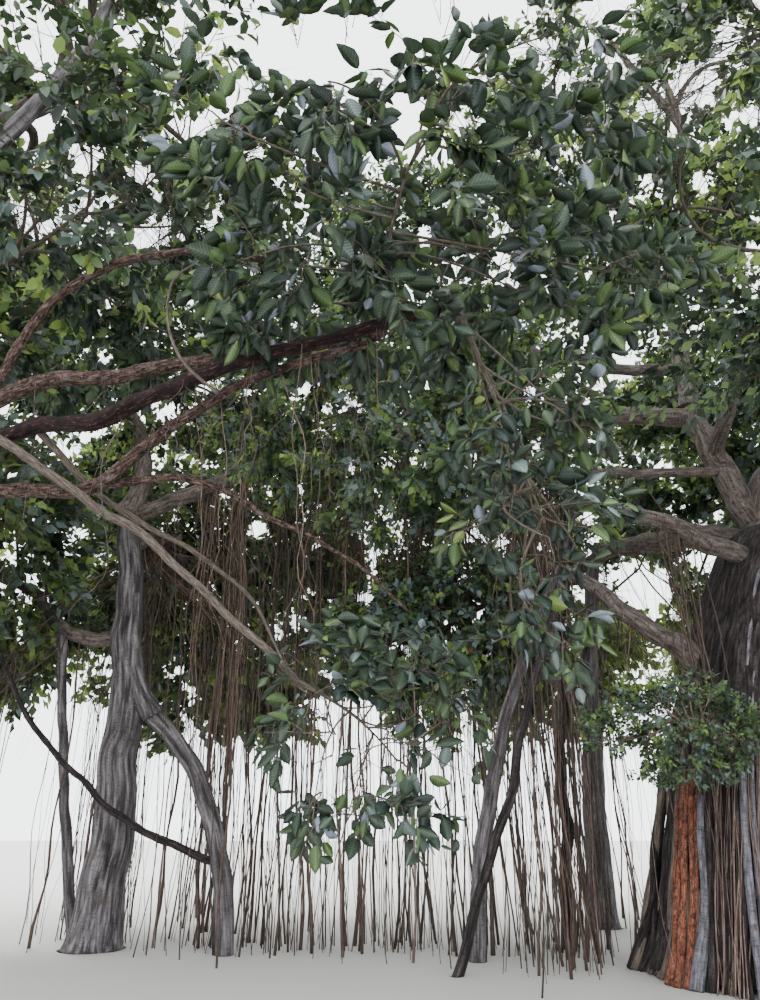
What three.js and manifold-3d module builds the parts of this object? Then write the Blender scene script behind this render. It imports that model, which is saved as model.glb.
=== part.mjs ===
// A banyan tree: one wide crown on a main trunk that is wrapped in its own fused aerial roots, with older
// aerial roots that have grown into pillars under the boughs, and younger ones that hang as curtains.
// Millimetres, +Z up. The origin is the middle of the flat cut under the main trunk, at ground level.
// +X runs to the right and +Y away, seen from the open side of the tree where the near boughs hang low.
import * as THREE from "three";
import { mergeVertices } from "three/addons/utils/BufferGeometryUtils.js";
import Module from "manifold-3d";

const wasm = await Module();
wasm.setup();

// Driving dimensions
const gap = 0.3; // left between two pieces that meet
const trunkHeight = 5300; // from the ground to the fork
const trunkBaseRadius = 1250;
const trunkForkRadius = 720;
const trunkLean = [1300, 350]; // how far the fork stands to the right of and behind the foot
const leanLow = 0.12; // share of that lean which is reached by six tenths of the height
const trunkFlare = 0.16; // share of its radius that the trunk widens by at the ground
const trunkFlutes = [0.055, 0.035]; // shares that its many and its few flutes stand out by
const trunkFluteCounts = [9, 5];
const fusedRoots = 9; // thick aerial roots grown onto the trunk
const fusedRootRadius = 150;
const fusedRootTop = 3500;
const fusedRootTopSpread = 700; // by which their tops vary up and down
const fusedRootSpread = 190; // by which their feet stand out of the trunk
const pillarFlare = 0.35;
const pillarFlute = 0.07;
const belowGround = -100; // where what strikes the ground is drawn to, before the level cut

// Foliage
const branchletsPerMass = 5;
const branchletsPerDenseMass = 10;
const leafShares = [0.42, 0.68, 0.95]; // where a branchlet's leaves stand along it, the last at its tip
const leafLength = 0.44; // as a share of the mass's mean reach: each leaf stands for a spray
const leafWidth = 0.3; // half of it, as a share of the leaf's length
const leafBelly = 0.52; // where along it the leaf is widest
const leafThickness = 0.018; // half of it, likewise
const leafTurn = 0.95; // radians that a side leaf leans off its branchlet
const leafDroop = 0.22;
const coreShares = [0.72, 0.72, 0.6]; // of a dense mass's reach each way, filled by its core
const broadLump = 0.17; // share that the core's broad swellings stand out by
const smallLump = 0.1;
const leaderShare = 0.75; // of its bough's tip, that a leader is thick
const leaderPastCentre = 0.3; // of the mean reach, by which it runs past the mass's middle
const branchletStarts = [0.35, 0.95]; // stretch of the leader that branchlets leave
const branchletShare = 0.6; // of its leader's radius
const leastTwigRadius = 20;
const spaceMargin = 15; // kept clear on each side where two masses meet
const entryDepth = 0.72; // of a mass's reach from its middle, where the bough that goes into it stops

const barkColors = {
  trunk: "#6d645c",
  pillar: "#8b8680",
  bough: "#7b6c60",
  nearBough: "#6e4f45",
  hangingRoot: "#86705f",
};
const leafColor = "#3f5a2c";

// Limbs. Each runs from one place to another and tapers from its first radius to its last, with its middle
// bowed off the straight line. A place is a point, a share of the way along a limb that is made before it, or
// the near side of a mass of foliage.
const on = (name, share) => ({ name, share });
const into = (mass) => ({ mass });
const foot = (x, y) => [x, y, belowGround];
const limbOf = (name, from, to, bow, radii) => ({ name, from, to, bow, radii });
const pillars = [
  limbOf("pillar_left", foot(-8450, 2000), [-8800, 2050, 6500], [190, 0, 0], [345, 180]),
  limbOf("pillar_near", foot(-10250, -5000), [-9650, -5100, 4500], [-120, 0, 0], [460, 300]),
];
const boughs = [
  limbOf("leader_left", on("trunk", 0.94), [620, 1000, 7900], [-60, -60, 0], [215, 165]),
  limbOf("leader_right", on("trunk", 0.93), [3300, 900, 8600], [-250, 0, 200], [480, 230]),
  limbOf("leader_left_top", on("leader_left", 0.99), into("foliage_top"), [120, 0, 0], [160, 105]),
  limbOf("bough_low_left", on("trunk", 0.9), [-2050, -1000, 5400], [0, -200, 60], [150, 88]),
  limbOf("bough_fork_left", on("trunk", 0.54), [-1950, 500, 5050], [-100, -250, 0], [190, 80]),
  limbOf("bough_side_left", on("leader_left", 0.55), [-2700, 100, 6400], [0, 0, -60], [80, 56]),
  limbOf("bough_bridge", on("leader_left", 0.93), on("pillar_left", 0.98), [0, 500, 900], [150, 130]),
  limbOf("bough_back", on("trunk", 0.97), into("foliage_back"), [0, 0, 500], [260, 110]),
  limbOf("bough_right", on("leader_right", 0.28), into("foliage_right"), [0, 0, 350], [230, 100]),
  limbOf("bough_right_front", on("leader_right", 0.1), into("foliage_right_front"), [0, 0, 350], [200, 90]),
  limbOf("bough_right_back", on("leader_right", 0.6), into("foliage_right_back"), [0, 0, 300], [180, 90]),
  limbOf("bough_front", on("leader_left", 0.65), into("foliage_front"), [-100, 0, 150], [120, 80]),
  limbOf("bough_top_right", on("leader_right", 0.98), into("foliage_top_right"), [0, 0, 100], [215, 120]),
  limbOf("bough_top_left", on("leader_left_top", 0.25), into("foliage_top_left"), [0, 0, -200], [110, 75]),
  limbOf("bough_left_top", on("pillar_left", 0.99), into("foliage_left_top"), [250, 0, 0], [185, 95]),
  limbOf("bough_left_out", on("pillar_left", 0.67), into("foliage_left_out"), [-250, 0, -250], [125, 80]),
  limbOf("bough_left_back", on("pillar_left", 0.9), into("foliage_left_back"), [0, 0, 200], [130, 80]),
  limbOf("bough_near_rise", on("pillar_near", 0.97), into("foliage_near_crown"), [-150, 0, 250], [260, 130]),
  limbOf("bough_near_outer", on("pillar_near", 0.93), into("foliage_left_front"), [0, 0, 200], [190, 80]),
  limbOf("bough_near_dark", on("pillar_near", 0.78), [-4050, -6250, 4500], [0, 0, -100], [78, 32]),
  limbOf("bough_near_pale", on("pillar_near", 0.86), [-4500, -5850, 4530], [0, 0, 90], [75, 36]),
  limbOf("bough_near_middle", on("pillar_near", 0.94), into("foliage_near_left"), [350, 0, -520], [80, 40]),
  limbOf("bough_near_arch", on("bough_near_pale", 0.5), [-5300, -5850, 5150], [-330, 50, 520], [36, 24]),
  limbOf("bough_near_drop", on("bough_near_dark", 0.49), into("foliage_near_low"), [60, 100, 60], [30, 18]),
  limbOf("bough_spur", on("trunk", 0.43), [-800, -1200, 2450], [0, 0, -60], [60, 32]),
];
// Pillars that stand under a bough, and props, which are younger: roots as thick as an arm or a leg.
const supports = [
  limbOf("pillar_right", foot(5300, 900), on("bough_right", 0.8), [150, 100, 0], [330, 150]),
  limbOf("pillar_back", foot(-800, 4300), on("bough_back", 0.82), [-120, 0, 0], [230, 120]),
];
const props = [
  limbOf("prop_left", on("pillar_left", 0.54), foot(-6550, 1500), [420, 60, 330], [120, 135]),
  limbOf("prop_left_rear", on("bough_left_out", 0.6), foot(-8850, 2450), [-60, 0, 0], [62, 85]),
  limbOf("prop_lean", on("bough_low_left", 0.98), foot(-3660, 0), [60, 0, 0], [46, 62]),
  limbOf("prop_grey", on("bough_fork_left", 0.97), foot(-3280, 1000), [-330, 0, 0], [70, 115]),
  limbOf("prop_dark", on("bough_side_left", 0.7), foot(-1900, 2000), [0, 500, 0], [52, 95]),
  limbOf("bough_low_dark", on("prop_left", 0.72), [-9800, 400, 3900], [-350, 0, -350], [56, 28]),
];

// Masses of foliage: where each has its middle, how far it reaches each way, and the bough that it grows on.
const massOf = (name, centre, reach, bough) => ({ name, centre, reach, bough });
const openMasses = [
  massOf("foliage_near_high", [-4300, -6350, 5150], [1900, 1350, 1400], "bough_near_pale"),
  massOf("foliage_near_drape", [-3740, -6500, 3140], [520, 520, 1150], "bough_near_dark"),
  massOf("foliage_near_low", [-4560, -6150, 1980], [600, 550, 700], "bough_near_drop"),
  massOf("foliage_near_left", [-7500, -4800, 6350], [2200, 1900, 1600], "bough_near_middle"),
  massOf("foliage_middle", [-4100, -200, 7100], [3200, 2300, 1900], "bough_side_left"),
  massOf("foliage_low", [-3500, 1700, 4400], [1900, 1500, 1500], "bough_fork_left"),
  massOf("foliage_trunk", [-1250, -1500, 2550], [1150, 500, 650], "bough_spur"),
];
const denseMasses = [
  massOf("foliage_near_crown", [-8300, -3900, 9500], [3700, 3700, 2300], "bough_near_rise"),
  massOf("foliage_left_front", [-12100, -4300, 6300], [3300, 4000, 2900], "bough_near_outer"),
  massOf("foliage_left_top", [-9200, 2000, 10400], [4300, 4000, 2800], "bough_left_top"),
  massOf("foliage_left_out", [-12200, 2200, 6000], [3200, 3900, 3600], "bough_left_out"),
  massOf("foliage_left_back", [-8000, 6700, 7300], [4300, 3500, 5000], "bough_left_back"),
  massOf("foliage_back", [-1700, 7300, 6700], [4200, 3500, 4300], "bough_back"),
  massOf("foliage_top", [500, 1500, 13100], [4800, 4300, 2600], "leader_left_top"),
  massOf("foliage_top_left", [-4000, 3300, 11200], [4000, 4000, 2500], "bough_top_left"),
  massOf("foliage_top_right", [5400, 1000, 11000], [4300, 4300, 2800], "bough_top_right"),
  massOf("foliage_front", [900, -4000, 8200], [4300, 3700, 3500], "bough_front"),
  massOf("foliage_right", [7900, 1300, 6900], [3600, 4300, 3400], "bough_right"),
  massOf("foliage_right_front", [6300, -4600, 6500], [3900, 3500, 3300], "bough_right_front"),
  massOf("foliage_right_back", [4200, 6400, 8500], [4500, 3600, 4900], "bough_right_back"),
];
const masses = [...openMasses, ...denseMasses];

// Curtains of hanging aerial roots: the bough they spring from, the stretch of it, and how low they reach.
const curtainOf = (name, bough, stretch, strands, lowest) => ({ name, bough, stretch, strands, lowest });
const curtains = [
  curtainOf("roots_low_left", "bough_low_left", [0.45, 0.93], 9, 60),
  curtainOf("roots_bridge_left", "bough_bridge", [0.62, 0.94], 10, 350),
  curtainOf("roots_bridge_middle", "bough_bridge", [0.3, 0.56], 9, 200),
  curtainOf("roots_right", "bough_right", [0.3, 0.7], 8, 900),
];
const strandRadius = 23; // at its top: each stands for a few thin ones
const creepingRadius = 37; // of the root that the strands spring from
const strandShortening = [0.13, 0.12]; // share by which strands stop short, steady and varied
const strandSway = 60;

// Joining and cutting
const tidyTolerance = 0.05; // by which a joined surface may move as its spare corners are dropped
const swellOfCut = gap + 3 * tidyTolerance; // of a limb's copy that cuts its neighbours
const vector = (p) => new THREE.Vector3(...p);
const mix = (a, b, t) => a + (b - a) * t;
const up = new THREE.Vector3(0, 0, 1);
const cylinderAxis = new THREE.Vector3(0, 1, 0);

// A three.js geometry as a solid: only its merged positions count.
function solidOf(geometry) {
  const bare = geometry.clone();
  bare.deleteAttribute("normal");
  bare.deleteAttribute("uv");
  const merged = mergeVertices(bare, 0.01);
  const mesh = new wasm.Mesh({
    numProp: 3,
    vertProperties: new Float32Array(merged.attributes.position.array),
    triVerts: new Uint32Array(merged.index.array),
  });
  return new wasm.Manifold(mesh);
}

function geometryOf(solid) {
  const mesh = solid.getMesh();
  const geometry = new THREE.BufferGeometry();
  geometry.setAttribute("position", new THREE.BufferAttribute(mesh.vertProperties, 3));
  geometry.setIndex(new THREE.BufferAttribute(mesh.triVerts, 1));
  geometry.computeVertexNormals();
  return geometry;
}

function boxesMeet(a, b) {
  const [p, q] = [a.boundingBox(), b.boundingBox()];
  return [0, 1, 2].every((k) => p.min[k] <= q.max[k] && q.min[k] <= p.max[k]);
}

const touches = (solid, others) => others.some((o) => boxesMeet(solid, o) && solid.intersect(o).volume() > 0);

// The biggest of a solid's separate bodies, so that a loose scrap is dropped.
function biggestOf(solid) {
  return solid.decompose().reduce((a, b) => (b.volume() > a.volume() ? b : a));
}

// What is left of a solid once its neighbours, each swollen by the gap, are cut from it.
function cutClear(solid, neighbours) {
  const meeting = neighbours.filter((n) => boxesMeet(solid, n));
  return biggestOf(meeting.reduce((left, n) => left.subtract(n), solid));
}

const tidied = (solid) => solid.asOriginal().simplify(tidyTolerance);

const aboveGround = (solid) => solid.trimByPlane([0, 0, 1], 0);

// A straight cylinder laid along a curve, with its radius given by how far along and round the skin is.
// Swell is added all round it and past both its ends.
function tubeOn(curve, radiusAt, sides, steps, swell = 0) {
  const geometry = new THREE.CylinderGeometry(1, 1, 1, sides, steps);
  const frames = curve.computeFrenetFrames(steps, false);
  const place = geometry.attributes.position;
  for (let i = 0; i < place.count; i++) {
    const along = place.getY(i) + 0.5;
    const frame = Math.round(along * steps);
    const across = new THREE.Vector2(place.getX(i), place.getZ(i));
    const radius = across.length() * (radiusAt(along, across.angle()) + swell);
    const p = curve.getPointAt(along);
    p.addScaledVector(frames.binormals[frame], radius * Math.cos(across.angle()));
    p.addScaledVector(frames.normals[frame], radius * Math.sin(across.angle()));
    if (frame === 0) p.addScaledVector(frames.tangents[frame], -swell);
    if (frame === steps) p.addScaledVector(frames.tangents[frame], swell);
    place.setXYZ(i, p.x, p.y, p.z);
  }
  return solidOf(geometry);
}

// The centreline of a limb: a quadratic curve whose middle is bowed off the chord.
function bowedCurve(from, to, bow) {
  const middle = from.clone().lerp(to, 0.5).addScaledVector(vector(bow), 2);
  return new THREE.QuadraticBezierCurve3(from, middle, to);
}

// The trunk

// Its skin: a flared foot, a slow taper, and flutes where old aerial roots have merged with it.
function trunkRadius(along, angle) {
  const flare = trunkFlare * Math.exp(-along * 9);
  const taper = mix(trunkBaseRadius, trunkForkRadius, along ** 1.25);
  const manyFlutes = trunkFlutes[0] * Math.cos(trunkFluteCounts[0] * angle + 3 * along);
  const fewFlutes = trunkFlutes[1] * Math.cos(trunkFluteCounts[1] * angle - 1);
  return taper * (1 + flare + (manyFlutes + fewFlutes) * (1 - 0.6 * along));
}

function trunkCurve() {
  const [right, back] = trunkLean;
  return new THREE.QuadraticBezierCurve3(
    new THREE.Vector3(0, 0, -1),
    new THREE.Vector3(leanLow * right, leanLow * back, 0.6 * trunkHeight),
    new THREE.Vector3(right, back, trunkHeight),
  );
}

function trunkSolid(swell) {
  const curve = trunkCurve();
  let solid = tubeOn(curve, trunkRadius, 20, 7, swell);
  for (let i = 0; i < fusedRoots; i++) {
    const angle = (2 * Math.PI * (i + 0.3 * Math.sin(3 * i))) / fusedRoots;
    const out = new THREE.Vector3(Math.cos(angle), Math.sin(angle), 0);
    const top = fusedRootTop + fusedRootTopSpread * Math.sin(2.4 * i);
    const high = curve.getPoint(top / trunkHeight).addScaledVector(out, 0.72 * trunkBaseRadius);
    const low = out.clone().multiplyScalar(trunkBaseRadius + fusedRootSpread).setZ(belowGround);
    const line = bowedCurve(high, low, out.clone().multiplyScalar(170).toArray());
    solid = solid.add(tubeOn(line, (t) => mix(0.6, 1, t) * fusedRootRadius, 5, 3, swell));
  }
  return aboveGround(solid);
}

// Limbs
const wood = []; // each limb so far, with its centreline and the swollen copy that cuts the next ones
const limb = (name) => wood.find((w) => w.name === name);

// A place as a point. A bough that goes into a mass stops at the near side of that mass.
function pointOf(place, start) {
  if (place.name) return limb(place.name).curve.getPointAt(place.share);
  if (!place.mass) return vector(place);
  const mass = masses.find((m) => m.name === place.mass);
  const centre = vector(mass.centre);
  const back = start.clone().sub(centre).normalize();
  const reach = 1 / Math.hypot(...mass.reach.map((r, k) => back.getComponent(k) / r));
  return centre.addScaledVector(back, entryDepth * reach);
}

function curveOf({ from, to, bow }) {
  const start = pointOf(from);
  return bowedCurve(start, pointOf(to, start), bow);
}

function addWood(name, curve, radii, made) {
  const solid = tidied(cutClear(made(0), wood.map((w) => w.swollen)));
  wood.push({ name, curve, radii, solid, swollen: made(swellOfCut) });
}

function addLimb(row) {
  const [thick, thin] = row.radii;
  const curve = curveOf(row);
  const sides = thick > 150 ? 8 : 6;
  const steps = Math.max(3, Math.min(8, Math.round(curve.getLength() / 1200)));
  const made = (swell) => aboveGround(tubeOn(curve, (t) => mix(thick, thin, t), sides, steps, swell));
  addWood(row.name, curve, row.radii, made);
}

// A pillar widens at its foot, where it has struck root, and is fluted where several roots have merged.
function addPillar(row) {
  const [thick, thin] = row.radii;
  const curve = curveOf(row);
  const shape = (t, a) => 1 + pillarFlare * Math.exp(-14 * t) + pillarFlute * Math.cos(4 * a);
  const radiusAt = (t, a) => mix(thick, thin, t ** 0.8) * shape(t, a);
  addWood(row.name, curve, row.radii, (swell) => aboveGround(tubeOn(curve, radiusAt, 10, 7, swell)));
}

addWood("trunk", trunkCurve(), [trunkBaseRadius, trunkForkRadius], trunkSolid);
pillars.forEach(addPillar);
boughs.forEach(addLimb);
supports.forEach(addPillar);
props.forEach(addLimb);

// Foliage

// A mass keeps to its own space: inside its ellipsoid, and on its own side of the plane that parts it
// from each neighbour.
const meanReachOf = (mass) => Math.cbrt(mass.reach[0] * mass.reach[1] * mass.reach[2]);

function inOwnSpace(mass, p, slack = 1) {
  if (Math.hypot(...mass.reach.map((r, k) => (p.getComponent(k) - mass.centre[k]) / r)) > slack) return false;
  const power = (m) => p.distanceToSquared(vector(m.centre)) - meanReachOf(m) ** 2;
  return masses.every((m) => {
    const apart = vector(m.centre).distanceTo(vector(mass.centre));
    return m === mass || power(m) - power(mass) > 2 * apart * spaceMargin;
  });
}

// Points spread evenly through a mass by a sequence that the mass's own number starts off.
const sequenceSteps = [0.8191725134, 0.6710436067, 0.5497004779];
const spreadBetween = [0.6, 0.97]; // shares of the volume out from the middle that branchlets are sent to

function spreadPoints(mass, seed, count) {
  const points = [];
  for (let k = 1; points.length < count && k < 12 * count; k++) {
    const [u, v, w] = sequenceSteps.map((step) => (0.137 * seed + k * step) % 1);
    const height = 2 * v - 1;
    const out = Math.cbrt(mix(...spreadBetween, w));
    const level = Math.sqrt(1 - height * height);
    const spot = [level * Math.cos(2 * Math.PI * u), level * Math.sin(2 * Math.PI * u), height];
    const p = vector(spot.map((s, i) => mass.centre[i] + out * s * mass.reach[i]));
    if (inOwnSpace(mass, p)) points.push(p);
  }
  return points;
}

// A three-sided twig between two places, run on a little at its root so that it sinks into what carries it.
function twigSolid(a, b, thick, thin) {
  const along = b.clone().sub(a);
  const sunk = 0.5 * thick;
  const length = along.length() + sunk;
  const geometry = new THREE.CylinderGeometry(thin, thick, length, 3, 1);
  geometry.translate(0, length / 2 - sunk, 0);
  geometry.applyQuaternion(new THREE.Quaternion().setFromUnitVectors(cylinderAxis, along.normalize()));
  return solidOf(geometry.translate(a.x, a.y, a.z));
}

// A leaf of eight faces. Its root is a point inside its twig.
function leafGeometry(root, tip, face) {
  const length = tip.distanceTo(root);
  const geometry = new THREE.OctahedronGeometry(1);
  geometry.scale(leafWidth * length, leafThickness * length, 1);
  const place = geometry.attributes.position;
  for (let i = 0; i < place.count; i++) {
    const z = place.getZ(i);
    place.setZ(i, length * (leafBelly + z * (z > 0 ? 1 - leafBelly : leafBelly)));
  }
  geometry.applyMatrix4(new THREE.Matrix4().lookAt(tip, root, face));
  return geometry.translate(root.x, root.y, root.z);
}

function cornersOf(geometry) {
  const place = geometry.attributes.position;
  return Array.from({ length: place.count }, (_, i) => new THREE.Vector3().fromBufferAttribute(place, i));
}

// The heart of a dense mass, where its leaves hide one another: a lumpy ball, drawn in by a neighbour.
function coreSolid(mass, seed) {
  const geometry = new THREE.IcosahedronGeometry(1, 1);
  const place = geometry.attributes.position;
  for (let i = 0; i < place.count; i++) {
    const way = new THREE.Vector3().fromBufferAttribute(place, i);
    const spot = mass.reach.map((r, k) => coreShares[k] * r * way.getComponent(k));
    const at = (share) => vector(spot).multiplyScalar(share).add(vector(mass.centre));
    const broad = broadLump * Math.sin(5 * way.x + seed) * Math.cos(4 * way.y - seed);
    const small = smallLump * Math.sin(6 * way.z + 2 * seed);
    let share = 1 + broad + small;
    while (!inOwnSpace(mass, at(share))) share *= 0.96;
    place.setXYZ(i, ...at(share).toArray());
  }
  return solidOf(geometry);
}

// A leader runs on from the bough's tip through the middle of the mass. Branchlets leave it one after
// another, each for a place of its own, and bear their leaves on alternate sides.
function growMass(mass, seed) {
  const { curve, radii } = limb(mass.bough);
  const dense = denseMasses.includes(mass);
  const centre = vector(mass.centre);
  const meanReach = meanReachOf(mass);
  const leaf = leafLength * meanReach;
  const near = [...wood, ...hanging].map((w) => w.swollen);
  const stemRadius = leaderShare * radii[1];
  const start = curve.getPointAt(1);
  const through = centre.clone().sub(start).normalize();
  const end = centre.clone().addScaledVector(through, leaderPastCentre * meanReach);
  const pieces = [twigSolid(start, end, stemRadius, leastTwigRadius)];

  const addLeaf = (root, way, face) => {
    const geometry = leafGeometry(root, root.clone().addScaledVector(way, leaf), face);
    if (!cornersOf(geometry).every((p) => inOwnSpace(mass, p, 1.05))) return;
    const blade = solidOf(geometry);
    if (!touches(blade, near)) pieces.push(blade);
  };

  const addBranchlet = (from, to, radius) => {
    const heading = to.clone().sub(from).normalize();
    const length = Math.max(to.distanceTo(from) - 0.9 * leaf, 0.6 * leaf);
    const tip = from.clone().addScaledVector(heading, length);
    const twig = twigSolid(from, tip, radius, 0.4 * radius);
    if (touches(twig, near)) return;
    pieces.push(twig);
    const face = tip.clone().sub(centre).normalize().add(up).normalize();
    leafShares.forEach((share, i) => {
      const turn = i === leafShares.length - 1 ? 0 : leafTurn * (i % 2 ? -1 : 1);
      const way = heading.clone().applyAxisAngle(face, turn);
      way.z -= leafDroop;
      addLeaf(from.clone().lerp(tip, share), way.normalize(), face);
    });
  };

  const count = dense ? branchletsPerDenseMass : branchletsPerMass;
  const places = spreadPoints(mass, seed, count).sort((a, b) => a.dot(through) - b.dot(through));
  places.forEach((place, i) => {
    const share = mix(...branchletStarts, i / (places.length - 1));
    const radius = branchletShare * mix(stemRadius, leastTwigRadius, share);
    addBranchlet(start.clone().lerp(end, share), place, radius);
  });
  if (dense) pieces.push(coreSolid(mass, seed));
  return tidied(cutClear(wasm.Manifold.union(pieces), near));
}

// Hanging roots

// A curtain springs from a root that creeps along the underside of its bough, and hangs straight down.
// A strand that would meet another limb is left out.
function curtainSolid(curtain, swell) {
  const { stretch, strands, lowest } = curtain;
  const bough = limb(curtain.bough);
  const others = wood.filter((w) => w !== bough).map((w) => w.swollen);
  const under = (share) => {
    const p = bough.curve.getPointAt(share);
    p.z -= mix(...bough.radii, share) + 0.5 * strandRadius;
    return p;
  };
  const bar = new THREE.CatmullRomCurve3([0, 0.33, 0.67, 1].map((t) => under(mix(...stretch, t))));
  let solid = tubeOn(bar, () => creepingRadius, 5, 4, swell);
  for (let i = 0; i < strands; i++) {
    const top = bar.getPointAt(mix(0.04, 0.96, i / (strands - 1)));
    const shortBy = (i % 3) * (strandShortening[0] + strandShortening[1] * Math.sin(5.3 * i));
    const bottom = new THREE.Vector3(
      top.x + strandSway * Math.sin(3 * i),
      top.y + strandSway * Math.cos(2 * i),
      mix(lowest, top.z, shortBy),
    );
    const strand = twigSolid(top, bottom, strandRadius + swell, 0.5 * strandRadius + swell);
    if (!touches(strand, others)) solid = solid.add(strand);
  }
  return tidied(cutClear(solid, wood.map((w) => w.swollen)));
}

// The tree
const tree = new THREE.Group();

function addMesh(name, solid, color, roughness) {
  const material = new THREE.MeshStandardMaterial({ color, roughness, metalness: 0 });
  const mesh = new THREE.Mesh(geometryOf(solid), material);
  mesh.name = name;
  tree.add(mesh);
}

function barkOf(name) {
  if (name === "trunk") return barkColors.trunk;
  if (name.startsWith("pillar") || name.startsWith("prop")) return barkColors.pillar;
  return name.startsWith("bough_near") ? barkColors.nearBough : barkColors.bough;
}

const hanging = curtains.map((curtain) => ({
  name: curtain.name,
  solid: curtainSolid(curtain, 0),
  swollen: curtainSolid(curtain, swellOfCut),
}));
wood.forEach((w) => addMesh(w.name, w.solid, barkOf(w.name), 0.9));
hanging.forEach((h) => addMesh(h.name, h.solid, barkColors.hangingRoot, 0.85));
masses.forEach((mass, i) => addMesh(mass.name, growMass(mass, i + 1), leafColor, 0.5));

export default tree;
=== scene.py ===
# A banyan tree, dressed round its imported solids: bark with real relief on every limb, roots fused to the
# trunk and hanging from the boughs, and masses of leaves grown out of the limbs twig by twig.
# Metres, +Z up. The origin is the middle of the main trunk's foot, and +Y runs away from the camera.
import math

import bmesh
import bpy
import numpy as np
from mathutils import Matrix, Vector, noise


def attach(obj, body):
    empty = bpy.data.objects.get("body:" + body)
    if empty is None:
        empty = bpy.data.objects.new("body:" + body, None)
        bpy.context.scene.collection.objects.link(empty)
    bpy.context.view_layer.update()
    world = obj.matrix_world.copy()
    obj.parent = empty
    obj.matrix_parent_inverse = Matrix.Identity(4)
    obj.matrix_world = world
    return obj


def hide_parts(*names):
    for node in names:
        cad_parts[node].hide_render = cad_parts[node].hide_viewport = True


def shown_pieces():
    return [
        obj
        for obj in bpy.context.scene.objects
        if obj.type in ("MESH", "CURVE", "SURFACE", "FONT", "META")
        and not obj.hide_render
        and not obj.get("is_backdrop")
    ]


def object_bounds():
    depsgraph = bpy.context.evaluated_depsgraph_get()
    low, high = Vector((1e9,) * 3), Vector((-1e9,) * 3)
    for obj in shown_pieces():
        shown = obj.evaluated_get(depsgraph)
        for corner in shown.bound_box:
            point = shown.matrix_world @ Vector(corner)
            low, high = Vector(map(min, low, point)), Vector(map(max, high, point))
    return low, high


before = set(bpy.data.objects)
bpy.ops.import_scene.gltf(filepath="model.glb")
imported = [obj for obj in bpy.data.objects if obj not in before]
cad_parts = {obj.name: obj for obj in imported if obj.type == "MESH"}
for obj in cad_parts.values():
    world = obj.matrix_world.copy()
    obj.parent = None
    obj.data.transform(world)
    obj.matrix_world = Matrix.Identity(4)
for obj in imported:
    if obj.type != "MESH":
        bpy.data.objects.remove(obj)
cadLow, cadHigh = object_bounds()

# The camera stands where the photograph was taken from, under the open side of the crown, and looks up.
camera = {"eye": (-4.5, -10.0, 1.6), "pitchUp": 23, "focalPixels": 760, "longSidePixels": 1000,
          "middle": (380, 500), "farthest": 500}
light = {"sky": "#f6f9fd", "skyStrength": 4.4, "sunStrength": 3.2, "sunAngle": 14, "sunFrom": (46, 0, 215)}
floorLook = {"colour": "#c2c0bb", "roughness": 0.9, "half": 70}
# Seeds of the random draws; where several pieces draw, each adds its own number
seeds = {"lumps": 50, "sideLimbs": 60, "fusedRoots": 11, "fineRoots": 17, "flecks": 31, "curtains": 40,
         "growth": 100, "leaves": 200}
lineSteps = 97


def linear(hexCode):
    # sRGB hex to Blender's linear values
    parts = [int(hexCode[i:i + 2], 16) / 255 for i in (1, 3, 5)]
    return (*[p / 12.92 if p <= 0.04045 else ((p + 0.055) / 1.055) ** 2.4 for p in parts], 1)


def table(columns, rows):
    # rows as dictionaries: each row is a name and then a value for each column, of which the last may lack
    return {name: dict(zip(columns.split(), values)) for name, *values in rows}


def addNode(tree, kind, settings=None):
    # one node with its settings: what a socket is linked to, a socket's own value, or a property
    node = tree.nodes.new(kind)
    for key, value in (settings or {}).items():
        if isinstance(value, bpy.types.NodeSocket):
            tree.links.new(value, node.inputs[key])
        elif isinstance(key, int) or key in node.inputs:
            node.inputs[key].default_value = value
        else:
            setattr(node, key, value)
    return node


def newMaterial(name):
    made = bpy.data.materials.new(name)
    made.use_nodes = True
    made.node_tree.nodes.clear()
    return made, made.node_tree


def shadeRamp(tree, source, stops):
    # stops: share along the ramp and hex colour
    ramp = addNode(tree, "ShaderNodeValToRGB", {"Fac": source})
    while len(ramp.color_ramp.elements) < len(stops):
        ramp.color_ramp.elements.new(0.5)
    for element, (share, colour) in zip(ramp.color_ramp.elements, stops):
        element.position = share
        element.color = linear(colour)
    return ramp.outputs["Color"]


def mixed(tree, share, first, second, blend="MIX"):
    # two colours mixed; share and either colour may be a socket or a plain value
    settings = {"data_type": "RGBA", "blend_type": blend, 0: share, 6: first, 7: second}
    return addNode(tree, "ShaderNodeMix", settings).outputs[2]


def maths(tree, operation, *values):
    return addNode(tree, "ShaderNodeMath", {"operation": operation, **dict(enumerate(values))}).outputs[0]


mm = 0.001
barkPattern = {"patchLength": 1.6, "patchEdge": 0.06, "speckle": 0.7, "grainHeight": 0.35, "bump": 0.9,
               "shine": 0.2}
leafPattern = {"relief": 0.8, "bump": 0.5, "shine": 0.3}
veins = {"slant": 0.7, "apart": 0.115, "depth": 1.5}


def skinOf(tree, colour, roughness, height, relief, pattern):
    # a skin with relief in mm
    bump = addNode(tree, "ShaderNodeBump", {"Distance": relief * mm, "Strength": pattern["bump"],
                                            "Height": height})
    return addNode(tree, "ShaderNodeBsdfPrincipled", {
        "Base Color": colour, "Roughness": roughness, "Specular IOR Level": pattern["shine"],
        "Normal": bump.outputs["Normal"]}).outputs[0]


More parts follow.
